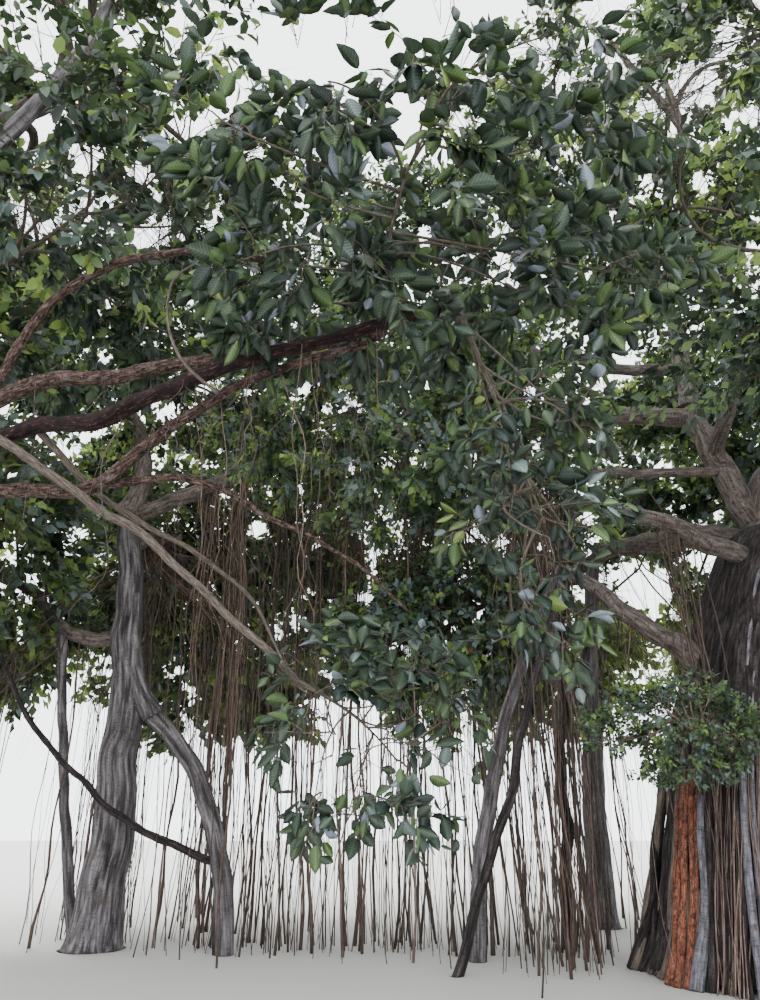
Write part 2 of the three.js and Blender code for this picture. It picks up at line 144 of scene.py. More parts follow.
def barkMaterial(name, look):
    # Bark drawn in the limb's straightened space: its streaks run with the limb and its rings round it
    made, tree = newMaterial(name)
    space = addNode(tree, "ShaderNodeAttribute", {"attribute_name": "straight"}).outputs["Vector"]

    def pattern(across, along, detail, roughness=0.5):
        scale = (1 / (across * mm), 1 / (across * mm), 1 / (along * mm))
        spread = addNode(tree, "ShaderNodeMapping", {"Scale": scale, "Vector": space}).outputs["Vector"]
        return addNode(tree, "ShaderNodeTexNoise", {"Scale": 1, "Detail": detail, "Roughness": roughness,
                                                    "Vector": spread}).outputs[0]

    streaks = pattern(*look["streak"], 7, 0.62)
    patches = pattern(look["patch"], barkPattern["patchLength"] * look["patch"], 4)
    fine = pattern(look["grain"], look["grain"], 3)
    rings = pattern(look["ringLength"], look["ring"], 3)
    low, high = (1 - look["patchCover"] + side * barkPattern["patchEdge"] for side in (-1, 1))
    cover = shadeRamp(tree, patches, [(low, "#000000"), (high, "#ffffff")])
    speckle = shadeRamp(tree, fine, [(0.3, "#9a9a9a"), (0.62, "#ffffff")])
    ringMarks = shadeRamp(tree, rings, [(0.36, "#3c3c3c"), (0.46, "#ffffff")])
    # the streaks that give the bark its relief also pick its colour, so it is darkest in the low cracks:
    # partly its own colour, partly painted shade
    shades = shadeRamp(tree, streaks, list(zip(look["stops"], look["shades"])))
    colour = mixed(tree, cover, shades, linear(look["patchColour"]))
    colour = mixed(tree, barkPattern["speckle"], colour, speckle, "MULTIPLY")
    colour = mixed(tree, look["ringDarkness"], colour, ringMarks, "MULTIPLY")
    height = maths(tree, "MULTIPLY_ADD", ringMarks, look["ringDepth"], streaks)
    height = maths(tree, "MULTIPLY_ADD", fine, barkPattern["grainHeight"], height)
    skin = skinOf(tree, colour, look["roughness"], height, look["depth"], barkPattern)
    addNode(tree, "ShaderNodeOutputMaterial", {"Surface": skin})
    return made


# What each bark is, and what it gives the eye. Its shades run from the cracks (partly own colour, partly
# painted shade) to the ridges. Sizes in mm.
barkLooks = table("stops shades streak patch patchCover patchColour grain ring ringLength ringDarkness "
                  "ringDepth depth roughness", [
    # Old banyan bark: dark grey-brown, deeply streaked, dull
    ("oldTrunkBark", (0.28, 0.45, 0.58, 0.75), ("#121011", "#2a2525", "#443d3c", "#696160"),
     (34, 320), 200, 0.26, "#565053", 9, 16, 120, 0.3, 0.25, 18, 0.9),
    # Roots fused to the trunk: paler, smoother, grey to straw
    ("fusedRootBark", (0.3, 0.46, 0.6, 0.75), ("#2f2824", "#63584f", "#847a70", "#a39a90"),
     (14, 260), 160, 0.34, "#564a42", 6, 14, 60, 0.3, 0.2, 7, 0.85),
    # A strip where the outer bark has split away: fibrous red-brown inner bark, its cracks darkened partly by
    # painted shade
    ("innerBark", (0.3, 0.44, 0.58, 0.74), ("#3e251d", "#7c4838", "#ab6e57", "#c9997f"),
     (9, 80), 50, 0.42, "#5a3f36", 5, 24, 40, 0.5, 0.4, 14, 0.92),
    # Smooth pale bluish skin of a thick young root
    ("smoothRootBark", (0.3, 0.46, 0.6, 0.76), ("#3b393d", "#65636a", "#84828a", "#a5a3a9"),
     (26, 200), 90, 0.38, "#55504e", 6, 12, 90, 0.45, 0.2, 5, 0.8),
    # Pillar roots: pale lilac-grey, smooth, with creases darkened partly by painted shade
    ("pillarBark", (0.3, 0.45, 0.58, 0.74), ("#1f1b1c", "#4d484a", "#7b7678", "#aaa5a9"),
     (55, 620), 240, 0.36, "#59534f", 8, 18, 90, 0.3, 0.2, 12, 0.88),
    # Boughs: grey-brown and smooth, with short raised rings of pores round them
    ("boughBark", (0.28, 0.44, 0.6, 0.78), ("#2d2624", "#5c524d", "#7e746e", "#a0978f"),
     (36, 200), 150, 0.34, "#463d38", 6, 13, 70, 0.6, 0.45, 6, 0.82),
    # Near boughs: reddish brown, flaking, with grey patches
    ("flakyBark", (0.3, 0.44, 0.56, 0.72), ("#181211", "#3a2b27", "#614d46", "#94827a"),
     (12, 50), 45, 0.36, "#6f6460", 3, 9, 30, 0.75, 0.5, 14, 0.86),
    # The wettest near bough: almost black, with a dark red cast
    ("darkBark", (0.32, 0.46, 0.56, 0.7), ("#070404", "#170c0c", "#2e1a18", "#6b4d46"),
     (12, 50), 50, 0.24, "#38292a", 3, 10, 30, 0.6, 0.5, 16, 0.72),
    # Hanging roots: thin, fibrous, grey-brown
    ("hangingRootBark", (0.3, 0.45, 0.58, 0.74), ("#2c221e", "#55463e", "#7a6b61", "#a39589"),
     (5, 120), 60, 0.4, "#63453a", 3, 8, 12, 0.3, 0.2, 2, 0.88),
    # Fine roots under the tuft on the trunk: thin and reddish brown
    ("redRootBark", (0.3, 0.46, 0.6, 0.78), ("#4a3832", "#7a6259", "#a18d84", "#c0b1a8"),
     (5, 120), 60, 0.34, "#6b4c42", 3, 8, 12, 0.3, 0.2, 1, 0.88),
    # Twigs: grey-brown
    ("twigBark", (0.3, 0.46, 0.62, 0.8), ("#2a2320", "#4c433c", "#6e655c", "#91887d"),
     (6, 60), 60, 0.3, "#6d6a52", 3, 8, 12, 0.3, 0.2, 1, 0.85),
])
barks = {name: barkMaterial(name, look) for name, look in barkLooks.items()}


def leafMaterial(name, look, veined=False):
    # A leathery leaf: a waxy skin that shines, over flesh that lets some yellow-green light through. The
    # nearest leaves also show a pale midrib and side veins that slant forward from it.
    made, tree = newMaterial(name)
    space = addNode(tree, "ShaderNodeTexCoord").outputs["Object"]
    quilt = {"Scale": 1 / (look["quilt"] * mm), "Detail": 2, "Vector": space}
    colour, height = linear(look["skin"]), addNode(tree, "ShaderNodeTexNoise", quilt).outputs[0]
    if veined:
        blade = addNode(tree, "ShaderNodeAttribute", {"attribute_name": "blade"}).outputs["Vector"]
        place = addNode(tree, "ShaderNodeSeparateXYZ", {"Vector": blade})
        out = maths(tree, "ABSOLUTE", place.outputs[1])
        slant = maths(tree, "MULTIPLY_ADD", out, -veins["slant"], place.outputs[0])
        wave = maths(tree, "PINGPONG", slant, veins["apart"] / 2)
        share = maths(tree, "DIVIDE", maths(tree, "MINIMUM", wave, out), veins["apart"] / 2)
        line = shadeRamp(tree, share, [(0.1, "#ffffff"), (0.34, "#000000")])
        colour = mixed(tree, line, colour, linear(look["vein"]))
        height = maths(tree, "MULTIPLY_ADD", line, -veins["depth"], height)
    skin = skinOf(tree, colour, look["roughness"], height, leafPattern["relief"], leafPattern)
    flesh = addNode(tree, "ShaderNodeBsdfTranslucent", {"Color": linear(look["through"])})
    both = addNode(tree, "ShaderNodeMixShader", {"Fac": look["thin"], 1: skin, 2: flesh.outputs[0]})
    addNode(tree, "ShaderNodeOutputMaterial", {"Surface": both.outputs[0]})
    return made


# The greens that are dealt out by spray, from the oldest leaves to the youngest, then the bluish grey of a
# skin that mirrors the sky, and a withered brown; the darker ones also serve as painted shade inside a mass.
# Quilt is the size of the skin's waves in mm.
leafLooks = table("skin vein through thin roughness quilt", [
    ("leafDeepGreen", "#1c2722", "#33443a", "#4d6236", 0.12, 0.34, 14),
    ("leafDarkGreen", "#29362c", "#48593f", "#5f7540", 0.16, 0.36, 14),
    ("leafMidGreen", "#3c4d3b", "#64764f", "#768f4d", 0.2, 0.38, 14),
    ("leafFreshGreen", "#566d48", "#869a62", "#93ae5c", 0.28, 0.4, 14),
    ("leafYellowGreen", "#73894a", "#a9ba70", "#b1c967", 0.36, 0.42, 14),
    ("leafGreyGreen", "#5a6a66", "#84938a", "#76886a", 0.14, 0.3, 14),
    ("leafWithered", "#5f4334", "#8a6c55", "#6e4f38", 0.15, 0.6, 14),
])
# Undersides are matt, and only the nearest leaves show them: green, lit through, or pale and bluish
underLooks = table("skin vein through thin roughness quilt", [
    ("leafUnderside", "#37463c", "#5d6c58", "#76904c", 0.22, 0.5, 9),
    ("leafUndersideLit", "#4f6844", "#7c8f5c", "#9cb85a", 0.34, 0.5, 9),
    ("leafUndersidePale", "#76828f", "#9aa3ab", "#8b9678", 0.1, 0.42, 9),
])
underDeal = (0.72, 0.22, 0.06)
stalkLook = {"skin": "#7b7f58", "through": "#a3ad66", "thin": 0.1, "roughness": 0.5, "quilt": 6}
# The share of the sprays that takes each of the seven looks, on the outside of a mass and inside it, where
# the darker greens are painted shade
leafDeal = table("outer inner", [
    ("high", (0.22, 0.25, 0.22, 0.14, 0.068, 0.1, 0.002), (0.42, 0.3, 0.14, 0.045, 0.018, 0.075, 0.002)),
    ("far", (0.06, 0.15, 0.26, 0.2, 0.098, 0.23, 0.002), (0.09, 0.2, 0.28, 0.16, 0.05, 0.218, 0.002)),
    ("fine", (0.03, 0.07, 0.16, 0.24, 0.14, 0.358, 0.002), (0.05, 0.1, 0.18, 0.2, 0.09, 0.378, 0.002)),
    ("near", (0.32, 0.29, 0.2, 0.08, 0.034, 0.075, 0.001), (0.52, 0.3, 0.1, 0.025, 0.01, 0.044, 0.001)),
])
leafGreens = [leafMaterial(name, look) for name, look in leafLooks.items()]
nearGreens = [leafMaterial("near" + name[:1].upper() + name[1:], look, True)
              for name, look in {**leafLooks, **underLooks}.items()] + [leafMaterial("leafStalk", stalkLook)]
print("materials made")


def unit(v):
    return v / np.maximum(np.linalg.norm(v, axis=-1, keepdims=True), 1e-9)


def turned(v, axis, angle):
    # v turned about a unit axis, for arrays of any shape
    c, s = np.cos(angle)[..., None], np.sin(angle)[..., None]
    return v * c + np.cross(axis, v) * s + axis * (axis * v).sum(-1, keepdims=True) * (1 - c)


def evenly(line, count):
    # the same line with its points evenly spaced
    steps = np.linalg.norm(np.diff(line, axis=0), axis=1)
    far = np.concatenate([[0], np.cumsum(steps)])
    spots = np.linspace(0, far[-1], count)
    return np.stack([np.interp(spots, far, line[:, k]) for k in range(3)], axis=1)


def pointAt(line, share):
    spots = np.asarray(share) * (len(line) - 1)
    return np.stack([np.interp(spots, np.arange(len(line)), line[:, k]) for k in range(3)], axis=-1)


def lengthOf(line):
    return np.linalg.norm(np.diff(line, axis=0), axis=1).sum()


def bowedLine(start, end, bow, count=lineSteps):
    t = np.linspace(0, 1, count)[:, None]
    middle = (start + end) / 2 + 2 * np.array(bow)
    return evenly((1 - t) ** 2 * start + 2 * t * (1 - t) * middle + t ** 2 * end, count)


def framesOf(line):
    # at each point of a line: the way it runs and two ways across it
    along = unit(np.gradient(line, axis=-2))
    chord = unit(line[..., -1, :] - line[..., 0, :])
    least = np.eye(3)[np.argmin(np.abs(chord), axis=-1)]
    side = unit(np.cross(along, np.broadcast_to(least[..., None, :], along.shape)))
    return along, side, np.cross(side, along)


# The masses and limbs are the solids' own, place by place, so that each piece stays where its node is
entryDepth = 0.72
spaceMargin = 0.015
sequenceSteps = np.array([0.8191725134, 0.6710436067, 0.5497004779])  # of an even spread of points in space
masses = table("centre reach bough habit", [
    ("near_high", (-4.3, -6.35, 5.15), (1.9, 1.35, 1.4), "bough_near_pale", "near"),
    ("near_drape", (-3.74, -6.5, 3.14), (0.52, 0.52, 1.15), "bough_near_dark", "hanging"),
    ("near_low", (-4.56, -6.15, 1.98), (0.6, 0.55, 0.7), "bough_near_drop", "hanging"),
    ("near_left", (-7.5, -4.8, 6.35), (2.2, 1.9, 1.6), "bough_near_middle", "broad"),
    ("middle", (-4.1, -0.2, 7.1), (3.2, 2.3, 1.9), "bough_side_left", "fine"),
    ("low", (-3.5, 1.7, 4.4), (1.9, 1.5, 1.5), "bough_fork_left", "fine"),
    ("trunk", (-1.25, -1.5, 2.55), (1.15, 0.5, 0.65), "bough_spur", "tuft"),
    ("near_crown", (-8.3, -3.9, 9.5), (3.7, 3.7, 2.3), "bough_near_rise", "mid"),
    ("left_front", (-12.1, -4.3, 6.3), (3.3, 4.0, 2.9), "bough_near_outer", "side"),
    ("left_top", (-9.2, 2.0, 10.4), (4.3, 4.0, 2.8), "bough_left_top", "upper"),
    ("left_out", (-12.2, 2.2, 6.0), (3.2, 3.9, 3.6), "bough_left_out", "outer"),
    ("left_back", (-8.0, 6.7, 7.3), (4.3, 3.5, 5.0), "bough_left_back", "dense"),
    ("back", (-1.7, 7.3, 6.7), (4.2, 3.5, 4.3), "bough_back", "far"),
    ("top", (0.5, 1.5, 13.1), (4.8, 4.3, 2.6), "leader_left_top", "upper"),
    ("top_left", (-4.0, 3.3, 11.2), (4.0, 4.0, 2.5), "bough_top_left", "upper"),
    ("top_right", (5.4, 1.0, 11.0), (4.3, 4.3, 2.8), "bough_top_right", "upper"),
    ("front", (0.9, -4.0, 8.2), (4.3, 3.7, 3.5), "bough_front", "front"),
    ("right", (7.9, 1.3, 6.9), (3.6, 4.3, 3.4), "bough_right", "side"),
    ("right_front", (6.3, -4.6, 6.5), (3.9, 3.5, 3.3), "bough_right_front", "side"),
    ("right_back", (4.2, 6.4, 8.5), (4.5, 3.6, 4.9), "bough_right_back", "dense"),
])
for seed, mass in enumerate(masses.values(), 1):
    mass.update(seed=seed, centre=np.array(mass["centre"]), reach=np.array(mass["reach"]))


def foot(x, y):
    return (x, y, -0.1)


# A place is a point, a share along a limb made before it, or the near side of a mass
limbRows = [
    ("pillar_left", foot(-8.45, 2), (-8.8, 2.05, 6.5), (0.19, 0, 0), (0.345, 0.18)),
    ("pillar_near", foot(-10.25, -5), (-9.65, -5.1, 4.5), (-0.12, 0, 0), (0.46, 0.3)),
    ("leader_left", ("trunk", 0.94), (0.62, 1, 7.9), (-0.06, -0.06, 0), (0.215, 0.165)),
    ("leader_right", ("trunk", 0.93), (3.3, 0.9, 8.6), (-0.25, 0, 0.2), (0.48, 0.23)),
    ("leader_left_top", ("leader_left", 0.99), "top", (0.12, 0, 0), (0.16, 0.105)),
    ("bough_low_left", ("trunk", 0.9), (-2.05, -1, 5.4), (0, -0.2, 0.06), (0.15, 0.088)),
    ("bough_fork_left", ("trunk", 0.54), (-1.95, 0.5, 5.05), (-0.1, -0.25, 0), (0.19, 0.08)),
    ("bough_side_left", ("leader_left", 0.55), (-2.7, 0.1, 6.4), (0, 0, -0.06), (0.08, 0.056)),
    ("bough_bridge", ("leader_left", 0.93), ("pillar_left", 0.98), (0, 0.5, 0.9), (0.15, 0.13)),
    ("bough_back", ("trunk", 0.97), "back", (0, 0, 0.5), (0.26, 0.11)),
    ("bough_right", ("leader_right", 0.28), "right", (0, 0, 0.35), (0.23, 0.1)),
    ("bough_right_front", ("leader_right", 0.1), "right_front", (0, 0, 0.35), (0.2, 0.09)),
    ("bough_right_back", ("leader_right", 0.6), "right_back", (0, 0, 0.3), (0.18, 0.09)),
    ("bough_front", ("leader_left", 0.65), "front", (-0.1, 0, 0.15), (0.12, 0.08)),
    ("bough_top_right", ("leader_right", 0.98), "top_right", (0, 0, 0.1), (0.215, 0.12)),
    ("bough_top_left", ("leader_left_top", 0.25), "top_left", (0, 0, -0.2), (0.11, 0.075)),
    ("bough_left_top", ("pillar_left", 0.99), "left_top", (0.25, 0, 0), (0.185, 0.095)),
    ("bough_left_out", ("pillar_left", 0.67), "left_out", (-0.25, 0, -0.25), (0.125, 0.08)),
    ("bough_left_back", ("pillar_left", 0.9), "left_back", (0, 0, 0.2), (0.13, 0.08)),
    ("bough_near_rise", ("pillar_near", 0.97), "near_crown", (-0.15, 0, 0.25), (0.26, 0.13)),
    ("bough_near_outer", ("pillar_near", 0.93), "left_front", (0, 0, 0.2), (0.19, 0.08)),
    ("bough_near_dark", ("pillar_near", 0.78), (-4.05, -6.25, 4.5), (0, 0, -0.1), (0.078, 0.032)),
    ("bough_near_pale", ("pillar_near", 0.86), (-4.5, -5.85, 4.53), (0, 0, 0.09), (0.075, 0.036)),
    ("bough_near_middle", ("pillar_near", 0.94), "near_left", (0.35, 0, -0.52), (0.08, 0.04)),
    ("bough_near_arch", ("bough_near_pale", 0.5), (-5.3, -5.85, 5.15), (-0.33, 0.05, 0.52), (0.036, 0.024)),
    ("bough_near_drop", ("bough_near_dark", 0.49), "near_low", (0.06, 0.1, 0.06), (0.03, 0.018)),
    ("bough_spur", ("trunk", 0.43), (-0.8, -1.2, 2.45), (0, 0, -0.06), (0.06, 0.032)),
    ("pillar_right", foot(5.3, 0.9), ("bough_right", 0.8), (0.15, 0.1, 0), (0.33, 0.15)),
    ("pillar_back", foot(-0.8, 4.3), ("bough_back", 0.82), (-0.12, 0, 0), (0.23, 0.12)),
    ("prop_left", ("pillar_left", 0.54), foot(-6.55, 1.5), (0.42, 0.06, 0.33), (0.12, 0.135)),
    ("prop_left_rear", ("bough_left_out", 0.6), foot(-8.85, 2.45), (-0.06, 0, 0), (0.062, 0.085)),
    ("prop_lean", ("bough_low_left", 0.98), foot(-3.66, 0), (0.06, 0, 0), (0.046, 0.062)),
    ("prop_grey", ("bough_fork_left", 0.97), foot(-3.28, 1), (-0.33, 0, 0), (0.07, 0.115)),
    ("prop_dark", ("bough_side_left", 0.7), foot(-1.9, 2), (0, 0.5, 0), (0.052, 0.095)),
    ("bough_low_dark", ("prop_left", 0.72), (-9.8, 0.4, 3.9), (-0.35, 0, -0.35), (0.056, 0.028)),
]
trunk = {"height": 5.3, "base": 1.2, "fork": 0.72, "taperPower": 1.25, "lean": (1.3, 0.35), "leanLow": 0.12,
         "flare": 0.13, "flareFade": 11}
trunkMiddle = [trunk["leanLow"] * part for part in trunk["lean"]] + [0.6 * trunk["height"]]
trunkT = np.linspace(0, 1, lineSteps)[:, None]
trunkLine = evenly(2 * trunkT * (1 - trunkT) * np.array(trunkMiddle)
                   + trunkT ** 2 * np.array([*trunk["lean"], trunk["height"]]), lineSteps)
limbs = {"trunk": {"line": trunkLine, "radii": (trunk["base"], trunk["fork"])}}


def placeOf(place, start=None):
    if isinstance(place, str):
        mass = masses[place]
        back = unit(start - mass["centre"])
        return mass["centre"] + back * entryDepth / np.linalg.norm(back / mass["reach"])
    if isinstance(place[0], str):
        return pointAt(limbs[place[0]]["line"], place[1])
    return np.array(place, float)


for name, fromPlace, toPlace, bow, radii in limbRows:
    limbStart = placeOf(fromPlace)
    limbs[name] = {"line": bowedLine(limbStart, placeOf(toPlace, limbStart), bow), "radii": radii}


def linked(name, data):
    made = bpy.data.objects.new(name, data)
    bpy.context.scene.collection.objects.link(made)
    return made


def addPiece(name, mesh, materials, slot, *nodes):
    # a piece with its materials, tied to the root, that stands for its nodes and hides them; slot is not used
    for material in materials:
        mesh.materials.append(material)
    piece = linked(name, mesh)
    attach(piece, "root")
    if nodes:
        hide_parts(*nodes)


# Limbs
def straightTube(sides, rings):
    shape = bmesh.new()
    bmesh.ops.create_cone(shape, cap_ends=True, segments=sides, radius1=1, radius2=1, depth=1)
    longEdges = [e for e in shape.edges if abs(e.verts[0].co.z - e.verts[1].co.z) > 0.5]
    bmesh.ops.subdivide_edges(shape, edges=longEdges, cuts=rings - 1)
    return shape


def layAlong(shape, line, radiusAt):
    # Lays a straight tube along a line. radiusAt is given metres along and the angle round for every vertex.
    # Where each vertex lay on the straightened limb is kept as an attribute, which the bark is drawn in.
    place = np.array([v.co for v in shape.verts])
    share = place[:, 2] + 0.5
    angle = np.arctan2(place[:, 1], place[:, 0])
    metres = share * lengthOf(line)
    radius = radiusAt(metres, angle) * np.hypot(place[:, 0], place[:, 1])
    _, side, over = framesOf(line)
    across = pointAt(side, share) * np.cos(angle)[:, None] + pointAt(over, share) * np.sin(angle)[:, None]
    spots = pointAt(line, share) + across * radius[:, None]
    straight = shape.verts.layers.float_vector.new("straight")
    spots[:, 2] = np.maximum(spots[:, 2], 0)
    for v, spot, r, a, s in zip(shape.verts, spots, radius, angle, metres):
        v.co = spot
        v[straight] = (r * math.cos(a), r * math.sin(a), s)
    bmesh.ops.recalc_face_normals(shape, faces=shape.faces)


def meshOf(name, shape):
    mesh = bpy.data.meshes.new(name)
    shape.to_mesh(mesh)
    shape.free()
    mesh.shade_smooth()
    return mesh


def skinNoise(metres, angle, radius, grain, seed):
    # smooth noise over the skin of a straightened limb; grain is the size of its waves across and along
    x, y = radius * np.cos(angle), radius * np.sin(angle)
    return np.array([noise.noise(Vector((a / grain[0], b / grain[0], c / grain[1] + 7.3 * seed)))
                     for a, b, c in zip(x, y, metres)])


def wandering(line, amount, seed):
    # the line with slow crooks in it, none at its ends
    rng = np.random.default_rng(seed)
    share = np.linspace(0, 1, len(line))
    _, side, over = framesOf(line)
    length = lengthOf(line)
    for across in (side, over):
        turns = rng.uniform(0.25, 0.45) * length + 1
        first, second = rng.uniform(0, 6.28, 2)
        sway = np.sin(2 * np.pi * turns * share + first) + 0.5 * np.sin(4.7 * np.pi * turns * share + second)
        line = line + across * (amount * sway * np.sin(np.pi * share))[:, None]
    return evenly(line, len(line))


# How each kind of limb is built: sides round it and metres between its rings, how far it wanders in shares
# of its radius, how many strands it is fused from, and how its folds, foot and lumps stand out in such shares
limbHabits = table("sides step wander strands strandDepth twist flare flareFade lumps bark slot", [
    ("pillar", 40, 0.07, 0.12, 7, 0.13, 0.35, 0.3, 1.6, 0.05, "pillarBark", "pillar_bark"),
    ("prop", 18, 0.07, 0.15, 3, 0.1, 0.8, 0.45, 0.25, 0.08, "pillarBark", "pillar_bark"),
    ("darkRoot", 14, 0.07, 0.7, 2, 0.1, 1, 0, 1, 0.1, "oldTrunkBark", "root_bark"),
    ("bough", 26, 0.06, 0.25, 3, 0.04, 0.4, 0.5, 1.6, 0.09, "boughBark", "bough_bark"),
    ("near", 18, 0.035, 0.7, 3, 0.09, 1.2, 0.5, 3, 0.2, "flakyBark", "near_bark"),
    ("low", 18, 0.035, 0.7, 3, 0.09, 1.2, 0.5, 3, 0.2, "oldTrunkBark", "near_bark"),
    ("fine", 18, 0.035, 0.7, 3, 0.09, 1.2, 0.5, 3, 0.2, "twigBark", "near_bark"),
    ("dark", 20, 0.025, 0.9, 3, 0.2, 1.5, 0.5, 3, 0.42, "darkBark", "near_bark"),
])
ownHabits = {"bough_near_dark": "dark", "bough_low_dark": "low", "bough_near_drop": "fine",
             "prop_lean": "darkRoot", "prop_dark": "darkRoot"}


def habitOf(name):
    first = name.split("_")[0]
    usual = "near" if name.startswith("bough_near") else "bough" if first == "leader" else first
    return limbHabits[limbs[name].get("habit", ownHabits.get(name, usual))]


# Sags and rises that the photograph shows on a near bough: share along, metres up and half length in shares
bends = {"bough_near_dark": [(0.6, -0.1, 0.06), (0.76, 0.03, 0.05)]}


def barkLimb(name, seed):
    limb, habit = limbs[name], habitOf(name)
    thick, thin = limb["radii"]
    line = wandering(limb["line"], habit["wander"] * (thick + thin) / 2, seed)
    for share, rise, half in bends.get(name, []):
        line[:, 2] += rise * np.exp(-((np.linspace(0, 1, len(line)) - share) / half) ** 2)
    limb["line"] = line
    length = lengthOf(line)
    middle = (thick + thin) / 2

    def radiusAt(metres, angle):
        share = metres / length
        plain = thick + (thin - thick) * (share ** 0.8 if name.startswith("pillar") else share)
        flare = habit["flare"] * np.exp(-habit["flareFade"] * metres / max(thick, 0.1))
        warp = skinNoise(metres, angle, middle, (middle, 1.4), seed)
        turn = habit["strands"] * (angle + habit["twist"] * metres + 0.9 * warp) / 2
        folds = habit["strandDepth"] * (np.abs(np.cos(turn)) ** 0.6 - 0.6)
        lumps = habit["lumps"] * skinNoise(metres, angle, middle, (1.2 * middle, 3 * middle),
                                            seed + seeds["lumps"])
        return plain * (1 + flare + folds + lumps)

    shape = straightTube(habit["sides"], max(6, round(length / habit["step"])))
    layAlong(shape, line, radiusAt)
    addPiece("bark_" + name, meshOf(name, shape), [barks[habit["bark"]]], habit["slot"],
             limb.get("carrier", name))


def smoothLine(points, count=lineSteps):
    # a curve through a few points (Catmull-Rom)
    p = np.array([2 * np.array(points[0]) - points[1], *points, 2 * np.array(points[-1]) - points[-2]])
    t = np.linspace(0, 1, 24)[:, None]
    parts = [0.5 * (2 * b + (c - a) * t + (2 * a - 5 * b + 4 * c - d) * t ** 2
                    + (3 * b - a - 3 * c + d) * t ** 3)
             for a, b, c, d in zip(p, p[1:], p[2:], p[3:])]
    return evenly(np.concatenate(parts), count)


# Lesser limbs that the photograph shows, each part of the limb that it springs from
sideLimbs = [
    ("knuckle_upper", "bough_near_pale", [(-7.3, -5.45, 3.55), (-6.85, -5.5, 3.58), (-6.35, -5.6, 3.56),
     (-5.79, -5.72, 3.96), (-5.15, -5.85, 4.27), (-4.57, -5.95, 4.4)], (0.05, 0.022), "near"),
    ("knuckle_lower", "bough_near_pale", [(-6.35, -5.6, 3.56), (-5.98, -5.56, 3.62), (-5.74, -5.5, 3.65),
     (-5.35, -5.4, 3.52), (-4.7, -5.2, 3.2), (-4.3, -5.0, 2.9)], (0.03, 0.008), "near"),
    ("thin_fall", "bough_near_dark", [(-6.75, -5.6, 3.98), (-6.31, -5.4, 3.55), (-5.77, -5.2, 3.29),
     (-5.38, -5.0, 2.99), (-5.15, -4.95, 2.6)], (0.026, 0.008), "fine"),
    ("high_left", "bough_near_rise", [(-8.6, -5.6, 5.2), (-7.75, -5.95, 5.75), (-7.22, -6.0, 6.1),
     (-6.99, -5.7, 7.32), (-6.91, -5.5, 8.36), (-6.95, -5.2, 9.3)], (0.075, 0.035), "prop"),
    ("fork_trunk", "leader_left_top", [(0.56, 1.25, 11.1), (0.5, 0.1, 11.5), (0.39, -1.0, 11.76),
     (-0.25, -1.35, 12.6), (-0.79, -1.6, 13.22)], (0.1, 0.04), "bough"),
    ("fork_middle", "leader_left_top", [(0.39, -1.0, 11.76), (0.1, -1.4, 12.4), (-0.23, -1.7, 13.01)],
     (0.065, 0.035), "bough"),
    ("fork_right", "leader_left_top", [(0.2, -1.2, 12.1), (0.6, -1.4, 12.75), (1.14, -1.5, 12.91)],
     (0.04, 0.025), "bough"),
    ("twig_loop", "bough_near_arch", [(-5.42, -6.25, 3.85), (-5.6, -6.3, 4.0), (-5.74, -6.3, 4.25),
     (-5.75, -6.3, 4.58), (-5.6, -6.3, 4.75), (-5.48, -6.3, 4.85)], (0.01, 0.007), "fine"),
    ("prop_left_head", "prop_left", [(-7.95, 1.95, 3.1), (-8.15, 1.88, 3.45), (-8.3, 1.84, 3.9),
     (-8.36, 1.84, 4.4), (-8.42, 1.86, 5.0)], (0.12, 0.045), "prop"),
]


for index, name in enumerate(n for n in limbs if n != "trunk"):
    barkLimb(name, index + 1)
for index, (name, carrier, points, radii, habit) in enumerate(sideLimbs):
    limbs[name] = {"line": smoothLine(points), "radii": radii, "habit": habit, "carrier": carrier}
    barkLimb(name, index + seeds["sideLimbs"])
print("limbs barked")


# Meshes from arrays, for what repeats hundreds of times
noVerts = np.zeros((0, 3))
tubeShift = 0.37  # metres from one tube's bark pattern to the next one's


def joinedMesh(name, parts):
    # parts: vertices, faces, material of each face, and optionally the straightened place of each vertex
    mesh = bpy.data.meshes.new(name)
    starts = np.cumsum([0] + [len(p["verts"]) for p in parts])
    verts = np.concatenate([p["verts"] for p in parts])
    loops = np.concatenate([(p["faces"] + s).ravel() for p, s in zip(parts, starts)])
    sizes = np.concatenate([np.full(len(p["faces"]), p["faces"].shape[1]) for p in parts])
    mesh.vertices.add(len(verts))
    mesh.vertices.foreach_set("co", verts.astype(np.float32).ravel())
    mesh.loops.add(len(loops))
    mesh.loops.foreach_set("vertex_index", loops.astype(np.int32))
    mesh.polygons.add(len(sizes))
    mesh.polygons.foreach_set("loop_start", np.concatenate([[0], np.cumsum(sizes)[:-1]]).astype(np.int32))
    kinds = np.concatenate([np.broadcast_to(p.get("material", 0), len(p["faces"])) for p in parts])
    mesh.polygons.foreach_set("material_index", kinds.astype(np.int32))
    for label in ("straight", "blade"):
        if all(label in p for p in parts):
            kept = mesh.attributes.new(label, "FLOAT_VECTOR", "POINT")
            places = np.concatenate([p[label] for p in parts])
            kept.data.foreach_set("vector", places.astype(np.float32).ravel())
    mesh.update(calc_edges=True)
    mesh.shade_smooth()
    return mesh


def ringsOn(lines, radii, sides):
    # a ring of vertices round every point of lines (n, k, 3), with radii (n, k), and each one's place on its
    # line when that is straightened
    _, side, over = framesOf(lines)
    angles = 2 * np.pi * np.arange(sides) / sides
    across = side[:, :, None] * np.cos(angles)[:, None] + over[:, :, None] * np.sin(angles)[:, None]
    far = np.cumsum(np.linalg.norm(np.diff(lines, axis=1, prepend=lines[:, :1]), axis=-1), axis=1)
    straight = np.empty(across.shape)
    straight[..., 0] = radii[:, :, None] * np.cos(angles) + tubeShift * np.arange(len(lines))[:, None, None]
    straight[..., 1] = radii[:, :, None] * np.sin(angles)
    straight[..., 2] = far[:, :, None]
    return lines[:, :, None] + across * radii[:, :, None, None], straight


